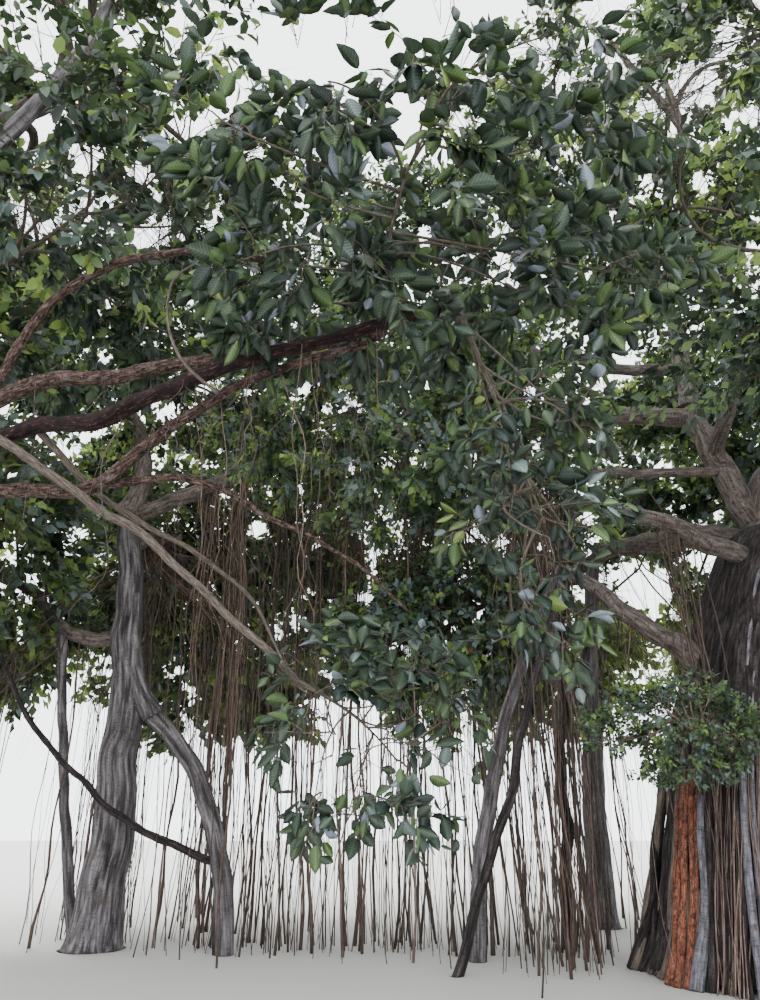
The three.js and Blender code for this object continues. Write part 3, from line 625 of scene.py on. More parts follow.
def tubesOn(lines, radii, sides):
    # a closed tube on each line
    rings, straight = ringsOn(lines, radii, sides)
    count, steps = radii.shape
    corner, ring = np.arange(sides), np.arange(steps - 1)[:, None] * sides
    nextCorner = (corner + 1) % sides
    firsts = (np.arange(count) * steps * sides)[:, None, None]
    quads = np.stack([ring + corner, ring + sides + corner, ring + sides + nextCorner, ring + nextCorner], -1)
    caps = np.stack([corner, (steps - 1) * sides + corner[::-1]])[None] + firsts
    # the caps share the walls' vertices, so they come as a part with none of its own
    return [{"verts": rings.reshape(-1, 3), "faces": (quads.reshape(-1, 4) + firsts).reshape(-1, 4),
             "straight": straight.reshape(-1, 3)},
            {"verts": noVerts, "faces": caps.reshape(-1, sides) - count * steps * sides, "straight": noVerts}]


def spikesOn(lines, radii):
    # a far twig is a three-sided spike: a ring at the first of its two points and a tip at the other
    verts, straight = (part[:, [0, 0, 0, 1], [0, 1, 2, 0]] for part in ringsOn(lines, radii * (1, 0), 3))
    faces = np.array([(0, 3, 1), (1, 3, 2), (2, 3, 0), (0, 1, 2)]) + 4 * np.arange(len(lines))[:, None, None]
    return [{"verts": verts.reshape(-1, 3), "faces": faces.reshape(-1, 3),
             "straight": straight.reshape(-1, 3)}]


# The main trunk: its own skin, and the roots that have grown down it and fused
trunkFlutes = ((0.055, 9, 3, 0), (0.035, 5, 0, -1))  # height, number round, turn from foot to fork and start
trunkBody = {"sides": 128, "rings": 110, "domeFrom": 0.9, "domeTo": 1.04, "folds": 0.05, "foldCount": 11,
             "lumps": 0.06}
trunkLength = lengthOf(trunkLine)


def trunkRadius(share, angle):
    taper = trunk["base"] + (trunk["fork"] - trunk["base"]) * share ** trunk["taperPower"]
    flare = trunk["flare"] * np.exp(-trunk["flareFade"] * share)
    flutes = sum(high * np.cos(number * angle + turn * share + start)
                 for high, number, turn, start in trunkFlutes)
    return taper * (1 + flare + flutes * (1 - 0.6 * share))


def trunkSkin(metres, angle):
    share = metres / trunkLength
    domeFrom, domeTo = trunkBody["domeFrom"], trunkBody["domeTo"]
    dome = np.sqrt(np.clip(1 - ((share - domeFrom) / (domeTo - domeFrom)) ** 2, 0, 1))
    dome[share < domeFrom] = 1
    turn = trunkBody["foldCount"] * (angle + 0.12 * metres + 0.5 * skinNoise(metres, angle, 1, (0.8, 2.2), 3))
    folds = trunkBody["folds"] * (np.abs(np.cos(turn)) ** 0.5 - 0.7)
    lumps = trunkBody["lumps"] * skinNoise(metres, angle, 1, (0.35, 0.9), 9)
    return trunkRadius(share, angle) * dome * (0.97 + folds + lumps)


shape = straightTube(trunkBody["sides"], trunkBody["rings"])
layAlong(shape, trunkLine, trunkSkin)
addPiece("bark_trunk", meshOf("trunk", shape), [barks["oldTrunkBark"]], "trunk_bark", "trunk")


def rootsDownTrunk(angles, tops, thick, out, seed, drift=0.12, turn=0, steps=30):
    # Roots that run down the trunk's skin to the ground, at angles round it, swaying a little as they go. Out
    # is how far a root's middle stands off the skin, in shares of its radius.
    rng = np.random.default_rng(seed)
    angles, tops, thick, out = (np.array(values)[:, None] for values in (angles, tops, thick, out))

    def each(low, high):
        return rng.uniform(low, high, angles.shape)

    t = np.linspace(0, 1, steps)[None]
    height = tops * (1 - t)
    sway = drift * each(0.2, 0.75) * np.sin(each(2, 7) * t + each(0, 6))
    angle = angles + sway + (turn + each(-drift, drift)) * t
    share = height / trunk["height"]
    radius = thick * (0.55 + 0.45 * t) * (1 + 0.14 * np.sin(each(8, 20) * t))
    reach = trunkRadius(share, angle) + (out * radius + 0.05 * np.exp(-height / 0.25))
    lines = pointAt(trunkLine, share)
    lines += np.stack([np.cos(angle) * reach, np.sin(angle) * reach, 0 * reach], -1)
    lines[..., 2] = np.maximum(height - 0.001, 0)
    return lines, radius


def addTrunkRoots(name, lines, radii, sides, bark, slot="trunk_bark"):
    addPiece(name, joinedMesh(name, tubesOn(lines, radii, sides)), [barks[bark]], slot, "trunk")


fusedRoots = {"count": 230, "thin": 0.01, "thick": 0.062, "tops": (1.4, 4.8), "out": (0.3, 2.2), "pale": 0.5}
rng = np.random.default_rng(seeds["fusedRoots"])
count = fusedRoots["count"]
rootAngles = 2 * np.pi * (np.arange(count) + rng.uniform(-0.45, 0.45, count)) / count
rootTops = rng.uniform(*fusedRoots["tops"], count)
rootThick = fusedRoots["thin"] + (fusedRoots["thick"] - fusedRoots["thin"]) * rng.uniform(0, 1, count) ** 2
lines, radii = rootsDownTrunk(rootAngles, rootTops, rootThick, rng.uniform(*fusedRoots["out"], count),
                              seeds["fusedRoots"] + 1)
paleOnes = rng.uniform(0, 1, count) < fusedRoots["pale"]
for label, chosen, bark in (("pale", paleOnes, "fusedRootBark"), ("dark", ~paleOnes, "oldTrunkBark")):
    addTrunkRoots("trunk_roots_" + label, lines[chosen], radii[chosen], 7, bark)

# The strip of split bark and the smooth thick roots beside it, on the side that faces the camera
strip = {"angles": [3.33, 3.4, 3.46, 3.52, 3.58], "tops": [2.1, 2.3, 2.25, 2.2, 1.9],
         "thick": [0.04, 0.047, 0.05, 0.047, 0.038], "out": [1.6, 1.8, 1.9, 1.8, 1.6], "seed": 5,
         "drift": 0.02, "turn": 0.13, "steps": 60}
addTrunkRoots("trunk_strip", *rootsDownTrunk(**strip), 10, "innerBark")
smoothRoots = {"angles": [3.68, 4.05, 4.13, 4.3], "tops": [1.9, 4.9, 4.7, 4.9],
               "thick": [0.07, 0.045, 0.036, 0.045], "out": [1.6, 1, 1, 0.9], "seed": 6, "drift": 0.03,
               "turn": 0.1}
addTrunkRoots("trunk_smooth_roots", *rootsDownTrunk(**smoothRoots), 14, "smoothRootBark")
# Fine roots that hang just off the trunk's skin under the tuft
fineRoots = {"angles": (3.7, 5.1), "tops": (1.7, 3.2), "thick": (0.004, 0.009), "out": (8, 20)}
fineCount = 46
rng = np.random.default_rng(seeds["fineRoots"])
fineOnes = {key: rng.uniform(*stretch, fineCount) for key, stretch in fineRoots.items()}
lines, radii = rootsDownTrunk(**fineOnes, seed=seeds["fineRoots"] + 1, drift=0.06)
addTrunkRoots("trunk_fine_roots", lines, radii, 4, "redRootBark", "root_bark")
print("trunk made")


# Where the photograph shows sky through the crown: middle and half size in pixels of its 760 by 1000 frame,
# and the share of the leaves in the way that stay
skyHoles = [
    # along the top
    (318, 46, 66, 34, 0.02), (440, 4, 66, 18, 0.1), (205, 28, 50, 34, 0.45),
    # down the left edge
    (40, 38, 17, 26, 0.05), (88, 47, 15, 13, 0.05), (28, 122, 18, 26, 0.05), (87, 160, 18, 22, 0.05),
    (9, 200, 10, 10, 0.05), (32, 230, 17, 13, 0.1),
    # round the arch of the near bough
    (188, 125, 23, 11, 0.05), (143, 176, 18, 14, 0.15), (255, 154, 14, 13, 0.05), (281, 184, 11, 11, 0.05),
    # round the trunk's top fork
    (694, 84, 26, 26, 0.02), (654, 99, 13, 20, 0.04), (676, 122, 16, 16, 0.2), (628, 62, 16, 16, 0.3),
    (720, 60, 14, 8, 0.2), (591, 40, 8, 9, 0.05), (644, 180, 11, 8, 0.1), (745, 20, 7, 9, 0.05),
    # between the trunk and its low boughs
    (620, 585, 52, 26, 0.3), (706, 562, 20, 15, 0.2), (714, 512, 10, 10, 0.1),
    # beside the left pillar and low in the middle
    (27, 592, 11, 22, 0.2), (172, 671, 18, 10, 0.15), (109, 698, 6, 10, 0), (38, 785, 42, 24, 0.25),
    (178, 780, 22, 20, 0.3), (257, 530, 8, 8, 0.1),
]
wideHole = 70
# Finer flecks of sky, by stretch of the frame: left, top, right and bottom in pixels, and the share that is
# open at the top and at the bottom of it
skyFlecks = [
    (-400, -400, 260, 250, 0.17, 0.17), (260, -200, 520, 60, 0.2, 0.2), (520, -300, 1100, 130, 0.2, 0.2),
    (520, 130, 1100, 310, 0.06, 0.06), (520, 310, 1100, 520, 0.02, 0.02), (-300, 250, 260, 400, 0.05, 0.05),
    (540, 520, 1100, 640, 0.15, 0.15), (-300, 400, 300, 660, 0.03, 0.03), (300, 380, 560, 720, 0.1, 0.1),
    (-300, 660, 200, 800, 0.05, 0.5), (200, 720, 640, 800, 0, 0.5),
]
# Their noise: pixels between each grid's points, how far each is turned, points a side, and its contrast
fleckNoise = {"grids": ((9, 0.6), (21, -0.4)), "points": 220, "shift": 5000, "contrast": 5.6}
fleckGrids = [np.random.default_rng(seeds["flecks"] + k).uniform(0, 1, (fleckNoise["points"],) * 2)
              for k in range(2)]


def fleckLevel(across, down):
    # smooth noise over the frame, spread evenly between 0 and 1
    level = 0
    for grid, (apart, turn) in zip(fleckGrids, fleckNoise["grids"]):
        cos, sin, shift = math.cos(turn), math.sin(turn), fleckNoise["shift"]
        x, y = ((place + shift) / apart % (len(grid) - 1)
                for place in (across * cos + down * sin, down * cos - across * sin))
        i, j = x.astype(int), y.astype(int)
        x, y = x - i, y - j
        level = level + (grid[i, j] * (1 - x) + grid[i + 1, j] * x) * (1 - y)
        level = level + (grid[i, j + 1] * (1 - x) + grid[i + 1, j + 1] * x) * y
    return 1 / (1 + np.exp(-fleckNoise["contrast"] * (level - 1)))


def inFrame(points):
    # where points show in the frame, in pixels across and down, and how deep into it they are in metres
    away = points - np.array(camera["eye"])
    tilt = math.radians(camera["pitchUp"])
    depth = away[..., 1] * math.cos(tilt) + away[..., 2] * math.sin(tilt)
    raised = away[..., 2] * math.cos(tilt) - away[..., 1] * math.sin(tilt)
    perMetre = camera["focalPixels"] / np.maximum(depth, 0.1)
    return camera["middle"][0] + perMetre * away[..., 0], camera["middle"][1] - perMetre * raised, depth


def inEllipse(across, down, ellipse):
    middleX, middleY, halfX, halfY = ellipse
    return ((across - middleX) / halfX) ** 2 + ((down - middleY) / halfY) ** 2 < 1


def openSky(points, rng, holes="all"):
    # Which points stay, once the crown is opened where sky shows. Wood that is fine enough stays in all but
    # the wide holes.
    across, down, depth = inFrame(points)
    stay = np.ones(points.shape[:-1], bool)
    chance = rng.uniform(0, 1, stay.shape)
    for *hole, left in skyHoles:
        if holes != "wide" or hole[2] + hole[3] >= wideHole:
            stay &= ~(inEllipse(across, down, hole) & (depth > 0.1) & (chance > left))
    if holes != "all":
        return stay
    flecks = fleckLevel(across, down)
    for left, top, right, bottom, topShare, bottomShare in skyFlecks:
        inside = (across > left) & (across < right) & (down > top) & (down < bottom) & (depth > 0.1)
        share = topShare + (bottomShare - topShare) * (down - top) / (bottom - top)
        stay &= ~(inside & (flecks < share))
    return stay


# Curtains of hanging roots. Each springs from a stretch of a bough's underside and hangs down, a share of its
# strands to the ground and the others to a share of their height. Thick and spread are in metres.
curtains = table("bough stretch strands ground thick spread sway ends tones", [
    ("low_left", "bough_low_left", (0.45, 1), 60, 0.6, 0.007, 0.1),
    ("bridge_left", "bough_bridge", (0.55, 0.97), 260, 0.7, 0.008, 0.5),
    ("bridge_middle", "bough_bridge", (0.2, 0.58), 280, 0.75, 0.009, 0.5),
    ("right", "bough_right", (0.3, 0.95), 50, 0.4, 0.01, 0.3),
    ("side_left", "bough_side_left", (0.35, 1), 110, 0.7, 0.007, 0.4),
    ("back", "bough_back", (0.5, 1), 300, 0.8, 0.011, 1.1),
    ("near_dark", "bough_near_dark", (0.45, 0.98), 40, 0, 0.0025, 0.08, 0.1, (0.5, 0.9)),
    ("near_pale", "bough_near_pale", (0.5, 1), 40, 0, 0.0025, 0.08, 0.1, (0.5, 0.9)),
    ("fork_left", "bough_fork_left", (0.5, 1), 50, 0.6, 0.007, 0.3),
    ("left_out", "bough_left_out", (0.3, 1), 110, 0.6, 0.008, 0.6),
    ("left_back", "bough_left_back", (0.2, 1), 280, 0.8, 0.011, 1.1),
    ("left_red", "bough_bridge", (0.78, 0.84), 45, 0.3, 0.011, 0.08, 0.08, (0.1, 0.7), (0.15, 0.8, 0.05)),
    ("right_back", "bough_right_back", (0.3, 1), 40, 0.6, 0.012, 0.4),
])
solidCurtains = ("low_left", "bridge_left", "bridge_middle", "right")
strandBarks = [barks["hangingRootBark"], barks["redRootBark"], barks["twigBark"]]
strandUsual = {"sway": 0.1, "ends": (0.1, 0.7), "tones": (0.5, 0.14, 0.36)}
strandSteps = 18


def strandsOf(look, seed):
    rng = np.random.default_rng(seed)
    limb, count = limbs[look["bough"]], look["strands"]

    def each(low, high):
        return rng.uniform(low, high, (count, 1))

    share = rng.uniform(*look["stretch"], count)
    bunch = np.round(share * 14) / 14  # roots hang in bunches
    share = np.clip(share + 0.5 * (bunch - share), 0, 1)
    tops = pointAt(limb["line"], share)
    high, low = limb["radii"]
    tops[:, 2] -= 0.5 * (high + (low - high) * share)
    tops[:, :2] += rng.normal(0, 0.2 * (low + high), (count, 2))
    grounded = rng.uniform(0, 1, count) < look["ground"]
    ends = np.where(grounded, 0, tops[:, 2] * rng.uniform(*look["ends"], count))
    t = np.linspace(0, 1, strandSteps)[None]
    fan = np.clip(t / 0.35, 0, 1)
    fan = fan * fan * (3 - 2 * fan)
    lines = np.empty((count, strandSteps, 3))
    for k in (0, 1):
        wave = look["sway"] * np.sin(each(3, 9) * t + each(0, 6))
        wave += 0.35 * look["sway"] * np.sin(each(14, 26) * t + each(0, 6))
        lines[..., k] = tops[:, k, None] + wave * t + rng.normal(0, 1.2 * look["sway"], (count, 1)) * t
        lines[..., k] += look["spread"] * rng.normal(0, 1, (count, 1)) * fan
    lines[..., 2] = tops[:, 2, None] + (ends - tops[:, 2])[:, None] * t
    thick = look["thick"] * (0.4 + 2.1 * each(0, 1) ** 4)
    taper = np.where(grounded[:, None], 1 + 0.5 * t ** 6, 1 - 0.75 * t)
    radii = thick * taper * (1 + 0.15 * np.sin(25 * t + each(0, 6)))
    # the left pillar shows clear of them
    pillar = limbs["pillar_left"]["line"]
    aside = np.abs(lines[..., 0] - np.interp(lines[..., 2], pillar[:, 2], pillar[:, 0])) > 0.5
    shown = (openSky(lines, rng, "gaps") & (aside | (lines[..., 1] > pillar[0, 1] + 0.2))).all(1)
    parts = tubesOn(lines[shown], radii[shown], 3)
    tone = rng.choice(len(strandBarks), shown.sum(), p=look["tones"])
    for part in parts:
        part["material"] = tone.repeat(len(part["faces"]) // len(tone))
    return parts


for seed, (name, look) in enumerate(curtains.items()):
    mesh = joinedMesh("roots_" + name, strandsOf({**strandUsual, **look}, seeds["curtains"] + seed))
    nodes = ["roots_" + name] if name in solidCurtains else []
    addPiece("strands_" + name, mesh, strandBarks, "root_bark", *nodes)
print("hanging roots made")


# Foliage
def meanReach(mass):
    return np.cbrt(mass["reach"].prod())


def inOwnSpace(mass, points, slack=1.0):
    # inside the mass's ellipsoid, and on its side of the plane that parts it from each neighbour
    inside = np.linalg.norm((points - mass["centre"]) / mass["reach"], axis=-1) < slack
    own = ((points - mass["centre"]) ** 2).sum(-1) - meanReach(mass) ** 2
    for other in masses.values():
        if other is not mass:
            apart = np.linalg.norm(other["centre"] - mass["centre"])
            power = ((points - other["centre"]) ** 2).sum(-1) - meanReach(other) ** 2
            inside &= power - own > 2 * apart * spaceMargin
    return inside


def spreadPoints(mass, count, span):
    k = np.arange(1, 12 * count)[:, None]
    u, v, w = ((0.137 * mass["seed"] + k * sequenceSteps) % 1).T
    height = 2 * v - 1
    out = np.cbrt(span[0] + (span[1] - span[0]) * w)
    level = np.sqrt(1 - height ** 2)
    spots = np.stack([level * np.cos(2 * np.pi * u), level * np.sin(2 * np.pi * u), height], -1)
    points = mass["centre"] + out[:, None] * spots * mass["reach"]
    return points[inOwnSpace(mass, points)][:count]


# How each kind of mass grows: branchlets off the arms, twigs off each and leaves on each twig, with lengths
# in metres. Span is the share of the volume, out from the middle, that branchlets are sent to, bare is the
# share of a branchlet and of a twig that bears nothing, and level is how far a leaf's face is turned upwards.
habits = table("branchlets twigs leaves twig leaf droop span bare level shape deal", [
    ("far", 340, 11, 9, 0.85, 0.19, 0.3, (0.2, 0.99), (0.3, 0.1), 0.4, "kite", "far"),
    ("dense", 450, 10, 9, 0.85, 0.22, 0.3, (0.2, 0.99), (0.3, 0.1), 0.4, "kite", "far"),
    ("upper", 240, 10, 9, 0.85, 0.172, 0.3, (0.3, 0.99), (0.35, 0.1), 0.4, "kite", "high"),
    ("outer", 275, 10, 8, 0.85, 0.22, 0.3, (0.25, 0.99), (0.3, 0.1), 0.4, "kite", "far"),
    ("mid", 250, 9, 8, 0.6, 0.16, 0.35, (0.25, 0.99), (0.35, 0.1), 0.5, "blade", "high"),
    ("front", 250, 12, 9, 0.55, 0.135, 0.35, (0.3, 0.99), (0.3, 0.1), 0.5, "kite", "high"),
    ("side", 165, 9, 8, 0.95, 0.23, 0.3, (0.45, 0.99), (0.4, 0.1), 0.5, "kite", "high"),
    ("fine", 225, 12, 9, 0.45, 0.125, 0.4, (0.05, 0.99), (0.2, 0.05), 0.4, "kite", "fine"),
    ("broad", 120, 8, 8, 0.42, 0.13, 0.4, (0.1, 0.99), (0.3, 0.3), 0.6, "blade", "near"),
    ("near", 92, 6, 6, 0.25, 0.15, 0.25, (0.08, 0.99), (0.3, 0.4), 0.7, "near", "near"),
    ("hanging", 38, 7, 4, 0.22, 0.11, 0.5, (0.05, 0.95), (0.25, 0.35), 0.6, "near", "near"),
    ("tuft", 110, 10, 9, 0.22, 0.06, 0.3, (0.02, 0.99), (0.2, 0.1), 0.4, "kite", "far"),
])
# Between the leader and the branchlets come arms, which share the branchlets out among them
armHabit = {"count": 15, "span": (0.1, 0.5), "starts": (0.12, 0.98), "bow": 0.1, "thick": 0.45,
            "nearThick": 0.3, "steps": 13}
leaderHabit = {"past": 0.3, "bow": 0.05, "steps": 25}
goldenAngle = math.pi * (3 - math.sqrt(5))
limbSpots = np.concatenate([limb["line"] for limb in limbs.values()])
limbGirths = np.concatenate([np.linspace(*limb["radii"], len(limb["line"])) for limb in limbs.values()])


def clearOfLimbs(points, centre, reach):
    # which points are outside every limb that passes through this part of the crown
    near = np.linalg.norm(limbSpots - centre, axis=1) < reach + 1
    clear = np.ones(len(points), bool)
    for spot, girth in zip(limbSpots[near], limbGirths[near]):
        clear &= ((points - spot) ** 2).sum(-1) > (girth + 0.03) ** 2
    return clear


def inBox(points, past=0.2):
    # inside the solids' own box, or only a little past it
    return (points > np.array(cadLow) - past).all(-1) & (points < np.array(cadHigh) + past).all(-1)


# How far a branchlet crooks, lifts, sags and kinks in shares of its length, how twigs swing from it and
# spread, and how leaves turn, lean and droop, with lengths as shares of the habit's
growth = {
    "crook": 0.1, "lift": 0.08, "sag": 0.2, "kink": 0.3, "axisSpread": 0.45, "swing": (0.5, 1.25),
    "twigSpread": 0.25, "twigLength": (0.55, 1.2), "twigSag": (-0.3, 0.1), "twigRadius": 0.011, "taper": 0.75,
    "leafTurn": 0.35, "leafLean": (0.7, 1.25), "leafDroop": (0.1, 1.6), "faceSpread": 0.4,
    "leafSize": (0.62, 1.2),
}


def twigsOn(onBranchlet, heading, outward, habit, rng):
    # the twigs of every branchlet: points along them, the way each runs and its length
    count, m = len(heading), habit["twigs"]
    t = np.clip(np.linspace(habit["bare"][0], 1, m) + rng.uniform(-0.04, 0.04, (count, m)), 0, 1)
    roots = onBranchlet(t)
    axis = unit(outward + np.array([0, 0, 0.8]) + rng.normal(0, growth["axisSpread"], (count, m, 3)))
    side = np.where((np.arange(m) + np.arange(count)[:, None]) % 2, 1, -1)
    swing = side * rng.uniform(*growth["swing"], (count, m)) * (1 - 0.35 * t)
    swing[:, -1] = rng.uniform(-0.2, 0.2, count)
    way = turned(np.broadcast_to(heading[:, None], axis.shape), axis, swing)
    way = unit(way + growth["twigSpread"] * rng.normal(0, 1, way.shape))
    length = habit["twig"] * rng.uniform(*growth["twigLength"], (count, m)) * (1.15 - 0.5 * t)
    sag = rng.uniform(*growth["twigSag"], (count, m)) * length * habit["droop"]

    def onTwig(s):
        # s (count, m, k) to points (count, m, k, 3)
        drop = (sag[..., None] * s ** 2)[..., None] * np.array([0, 0, 1])
        return roots[:, :, None] + way[:, :, None] * (length[..., None] * s)[..., None] + drop

    return onTwig, way, length


def leavesOn(onTwig, twigWay, leafy, outward, mass, habit, rng):
    # the leaves of every leafy twig, set round it by the golden angle, as arrays
    (count, m), q = leafy.shape, habit["leaves"]
    step, bare = np.arange(q), habit["bare"][1]
    s = bare + (1 - bare) * np.clip((step + rng.uniform(0, 0.8, (count, m, q))) / (q - 0.5), 0, 1)
    roots = onTwig(s)
    level = unit(np.cross(twigWay, np.array([0, 0, 1.0])))
    upright = np.cross(level, twigWay)
    turn = step * goldenAngle + rng.uniform(0, 6.28, (count, m, 1))
    turn = turn + rng.normal(0, growth["leafTurn"], s.shape)
    radial = level[:, :, None] * np.cos(turn)[..., None] + upright[:, :, None] * np.sin(turn)[..., None]
    straighter = 0.5 if habit["shape"] == "near" else 0.8
    leaning = ((1.3 - straighter * s) * rng.uniform(*growth["leafLean"], s.shape))[..., None]
    way = twigWay[:, :, None] * np.cos(leaning) + radial * np.sin(leaning)
    way[..., 2] -= habit["droop"] * rng.uniform(*growth["leafDroop"], s.shape)
    way = unit(way)
    face = np.array([0, 0, habit["level"]]) + 0.5 * outward[:, :, None]
    face = face + rng.normal(0, growth["faceSpread"], way.shape)
    face = unit(face - way * (face * way).sum(-1, keepdims=True))
    size = habit["leaf"] * rng.uniform(*growth["leafSize"], s.shape)
    tips = roots + way * size[..., None]
    leafy = leafy & openSky(onTwig(np.ones((count, m, 1)))[:, :, 0], rng)
    keep = leafy[..., None] & inOwnSpace(mass, tips, 1.04) & openSky(tips, rng)
    keep &= inBox(tips) & (tips[..., 2] > 0.05)
    depth = np.linalg.norm((tips - mass["centre"]) / mass["reach"], axis=-1)
    spray = np.arange(count * m).reshape(count, m, 1) + np.zeros(s.shape, int)
    leaves = {"root": roots, "way": way, "face": face, "size": size, "depth": depth, "spray": spray}
    leaves = {key: value[keep] for key, value in leaves.items()}
    middles = leaves["root"] + 0.5 * leaves["way"] * leaves["size"][:, None]
    clear = clearOfLimbs(middles, mass["centre"], mass["reach"].max())
    return {key: value[clear] for key, value in leaves.items()}


def grow(mass):
    # the leaves of one mass, and its wood: leader, arms, branchlets and twigs
    habit, rng = habits[mass["habit"]], np.random.default_rng(seeds["growth"] + mass["seed"])
    near = habit["shape"] == "near"
    start, stem = limbs[mass["bough"]]["line"][-1], limbs[mass["bough"]]["radii"][1]
    through = unit(mass["centre"] - start)
    end = mass["centre"] + through * leaderHabit["past"] * meanReach(mass)
    steps = leaderHabit["steps"]
    leader = bowedLine(start, end, leaderHabit["bow"] * rng.normal(0, 1, 3) * meanReach(mass), steps)
    leaderRadii = stem * (0.25 + 0.75 * np.linspace(1, 0, steps) ** (3 if near else 1))
    armEnds = spreadPoints(mass, armHabit["count"], armHabit["span"])
    armEnds = armEnds[np.argsort(armEnds @ through)]
    armStarts = pointAt(leader, np.linspace(*armHabit["starts"], len(armEnds)))
    steps = armHabit["steps"]
    arms = np.array([bowedLine(a, b, rng.normal(0, armHabit["bow"], 3) * np.linalg.norm(b - a), steps)
                     for a, b in zip(armStarts, armEnds)])
    thick = stem * armHabit["nearThick" if near else "thick"]
    armRadii = thick * np.linspace(1, 0.45, steps)[None].repeat(len(arms), 0)

    places = spreadPoints(mass, habit["branchlets"], habit["span"])
    count = len(places)
    arm = np.linalg.norm(places[:, None] - armEnds, axis=-1).argmin(1)
    armSpan = (armEnds - armStarts)[arm]
    onArm = ((places - armStarts[arm]) * armSpan).sum(-1)
    share = np.clip(0.85 * onArm / (armSpan ** 2).sum(-1) + rng.uniform(-0.1, 0.1, count), 0.2, 1)
    roots = np.array([pointAt(arms[a], t) for a, t in zip(arm, share)])
    heading = unit(places - roots)
    length = np.maximum(np.linalg.norm(places - roots, axis=1) - 0.6 * habit["twig"], 0.3)[:, None]
    crook = rng.normal(0, growth["crook"], (count, 3)) * length + np.array([0, 0, growth["lift"]]) * length
    sag = rng.uniform(0, growth["sag"], (count, 1)) * length * habit["droop"]

    def onBranchlet(t):
        # t (count, k) to points (count, k, 3)
        bend = (4 * t * (1 - t))[..., None] * crook[:, None]
        bend = bend + (np.sin(9 * t) * t * growth["kink"])[..., None] * crook[:, None, ::-1]
        bend[..., 2] -= sag * t ** 3
        return roots[:, None] + heading[:, None] * (length * t)[..., None] + bend

    t = np.linspace(0, 1, 8 if near else 5)[None].repeat(count, 0)
    branchlets = onBranchlet(t)
    girth = np.clip(0.42 * thick * (1 - 0.5 * share), 0.004, 0.018)[:, None]
    branchletRadii = girth * (1 - growth["taper"] * t)
    outward = unit(branchlets[:, -1] - mass["centre"])[:, None]
    onTwig, twigWay, twigLength = twigsOn(onBranchlet, heading, outward, habit, rng)
    stops = np.array([0, 0.35, 0.7, 1] if near else [0, 1])
    twigs = onTwig(np.broadcast_to(stops, (*twigLength.shape, len(stops))))
    twigRadii = np.clip(growth["twigRadius"] * twigLength, 0.0025, 0.02)[..., None]
    twigRadii = twigRadii * (1 - growth["taper"] * stops)
    # where only flecks of sky show, twigs stay, but bear no leaves
    ends = twigs[:, :, -1]
    fine = inOwnSpace(mass, ends, 1.03) & openSky(ends, rng, "wide") & inBox(ends)
    leaves = leavesOn(onTwig, twigWay, fine, outward, mass, habit, rng)
    shown = openSky(branchlets[:, 1:], rng, "wide").all(1)
    wood = tubesOn(leader[None], leaderRadii[None], 8) + tubesOn(arms, armRadii, 6)
    wood += tubesOn(branchlets[shown], branchletRadii[shown], 5 if near else 3)
    wood += tubesOn(twigs[fine], twigRadii[fine], 4) if near else spikesOn(twigs[fine], twigRadii[fine])
    return leaves, wood


# Painted sunlight: where the sun strikes through behind the shade, sprays take the fresh and yellow greens.
# Middle and half size in pixels, and their share of the sprays there
litPatches = [
    (628, 640, 75, 52, 0.75), (570, 600, 30, 30, 0.4), (40, 310, 50, 45, 0.3), (230, 60, 60, 50, 0.2),
    (470, 110, 50, 60, 0.2), (160, 440, 60, 30, 0.3), (740, 200, 60, 90, 0.25), (100, 290, 90, 40, 0.2),
]
litGreens = (3, 4)  # the fresh and the yellow green
oddLeaves = 0.2


def dealtGreens(leaves, deal, rng):
    # one green for each spray: darker inside the mass as painted shade, brighter towards its outside and
    # where the sun strikes through as painted light
    sprays, index = np.unique(leaves["spray"], return_inverse=True)
    out = np.zeros(len(sprays))
    np.maximum.at(out, index, leaves["depth"])
    outer = rng.choice(len(leafGreens), len(sprays), p=deal["outer"])
    inner = rng.choice(len(leafGreens), len(sprays), p=deal["inner"])
    # painted shade: sprays deep inside the mass take the darker inner greens
    green = np.where(rng.uniform(0, 1, len(sprays)) < (out - 0.45) * 1.8, outer, inner)[index]
    odd = rng.uniform(0, 1, len(green)) < oddLeaves
    green[odd] = rng.choice(len(leafGreens), odd.sum(), p=deal["outer"])
    across, down, depth = inFrame(leaves["root"])
    chance = rng.uniform(0, 1, len(sprays))[index]
    # painted sunlight: sprays in these patches of the frame take the fresh and yellow greens
    for *patch, share in litPatches:
        lit = inEllipse(across, down, patch) & (depth > 0.1) & (chance < share)
        green[lit] = rng.choice(litGreens, lit.sum())
    return green


def placed(leaves, outline):
    # outline (v, 3) or (n, v, 3) along, across and above the blade, as shares of its length, set at each leaf
    side = unit(np.cross(leaves["face"], leaves["way"]))
    above = np.cross(leaves["way"], side)
    axes = np.stack([leaves["way"], side, above], 1) * leaves["size"][:, None, None]
    return leaves["root"][:, None] + outline @ axes


# Leaves seen from afar are folded along the midrib: a kite of two faces, or a blade of two halves with
# shoulders. Corners are along, across and above, as shares of the leaf's length.
farShapes = {
    "kite": ([(0, 0, 0), (0.42, -0.33, 0.07), (1, 0, -0.08), (0.42, 0.33, 0.07)], [(0, 1, 2), (0, 2, 3)]),
    "blade": ([(0, 0, 0), (0.3, -0.27, 0.06), (0.72, -0.21, 0.04), (1, 0, -0.08), (0.72, 0.21, 0.04),
               (0.3, 0.27, 0.06)], [(0, 1, 2, 3), (0, 3, 4, 5)]),
}


def farLeaves(leaves, habit, rng):
    outline, corners = (np.array(part) for part in farShapes[habit["shape"]])
    verts = placed(leaves, outline)
    faces = corners[None] + (np.arange(len(verts)) * len(outline))[:, None, None]
    green = dealtGreens(leaves, leafDeal[habit["deal"]], rng).repeat(len(corners))
    return [{"verts": verts.reshape(-1, 3), "faces": faces.reshape(-1, corners.shape[1]), "material": green}]


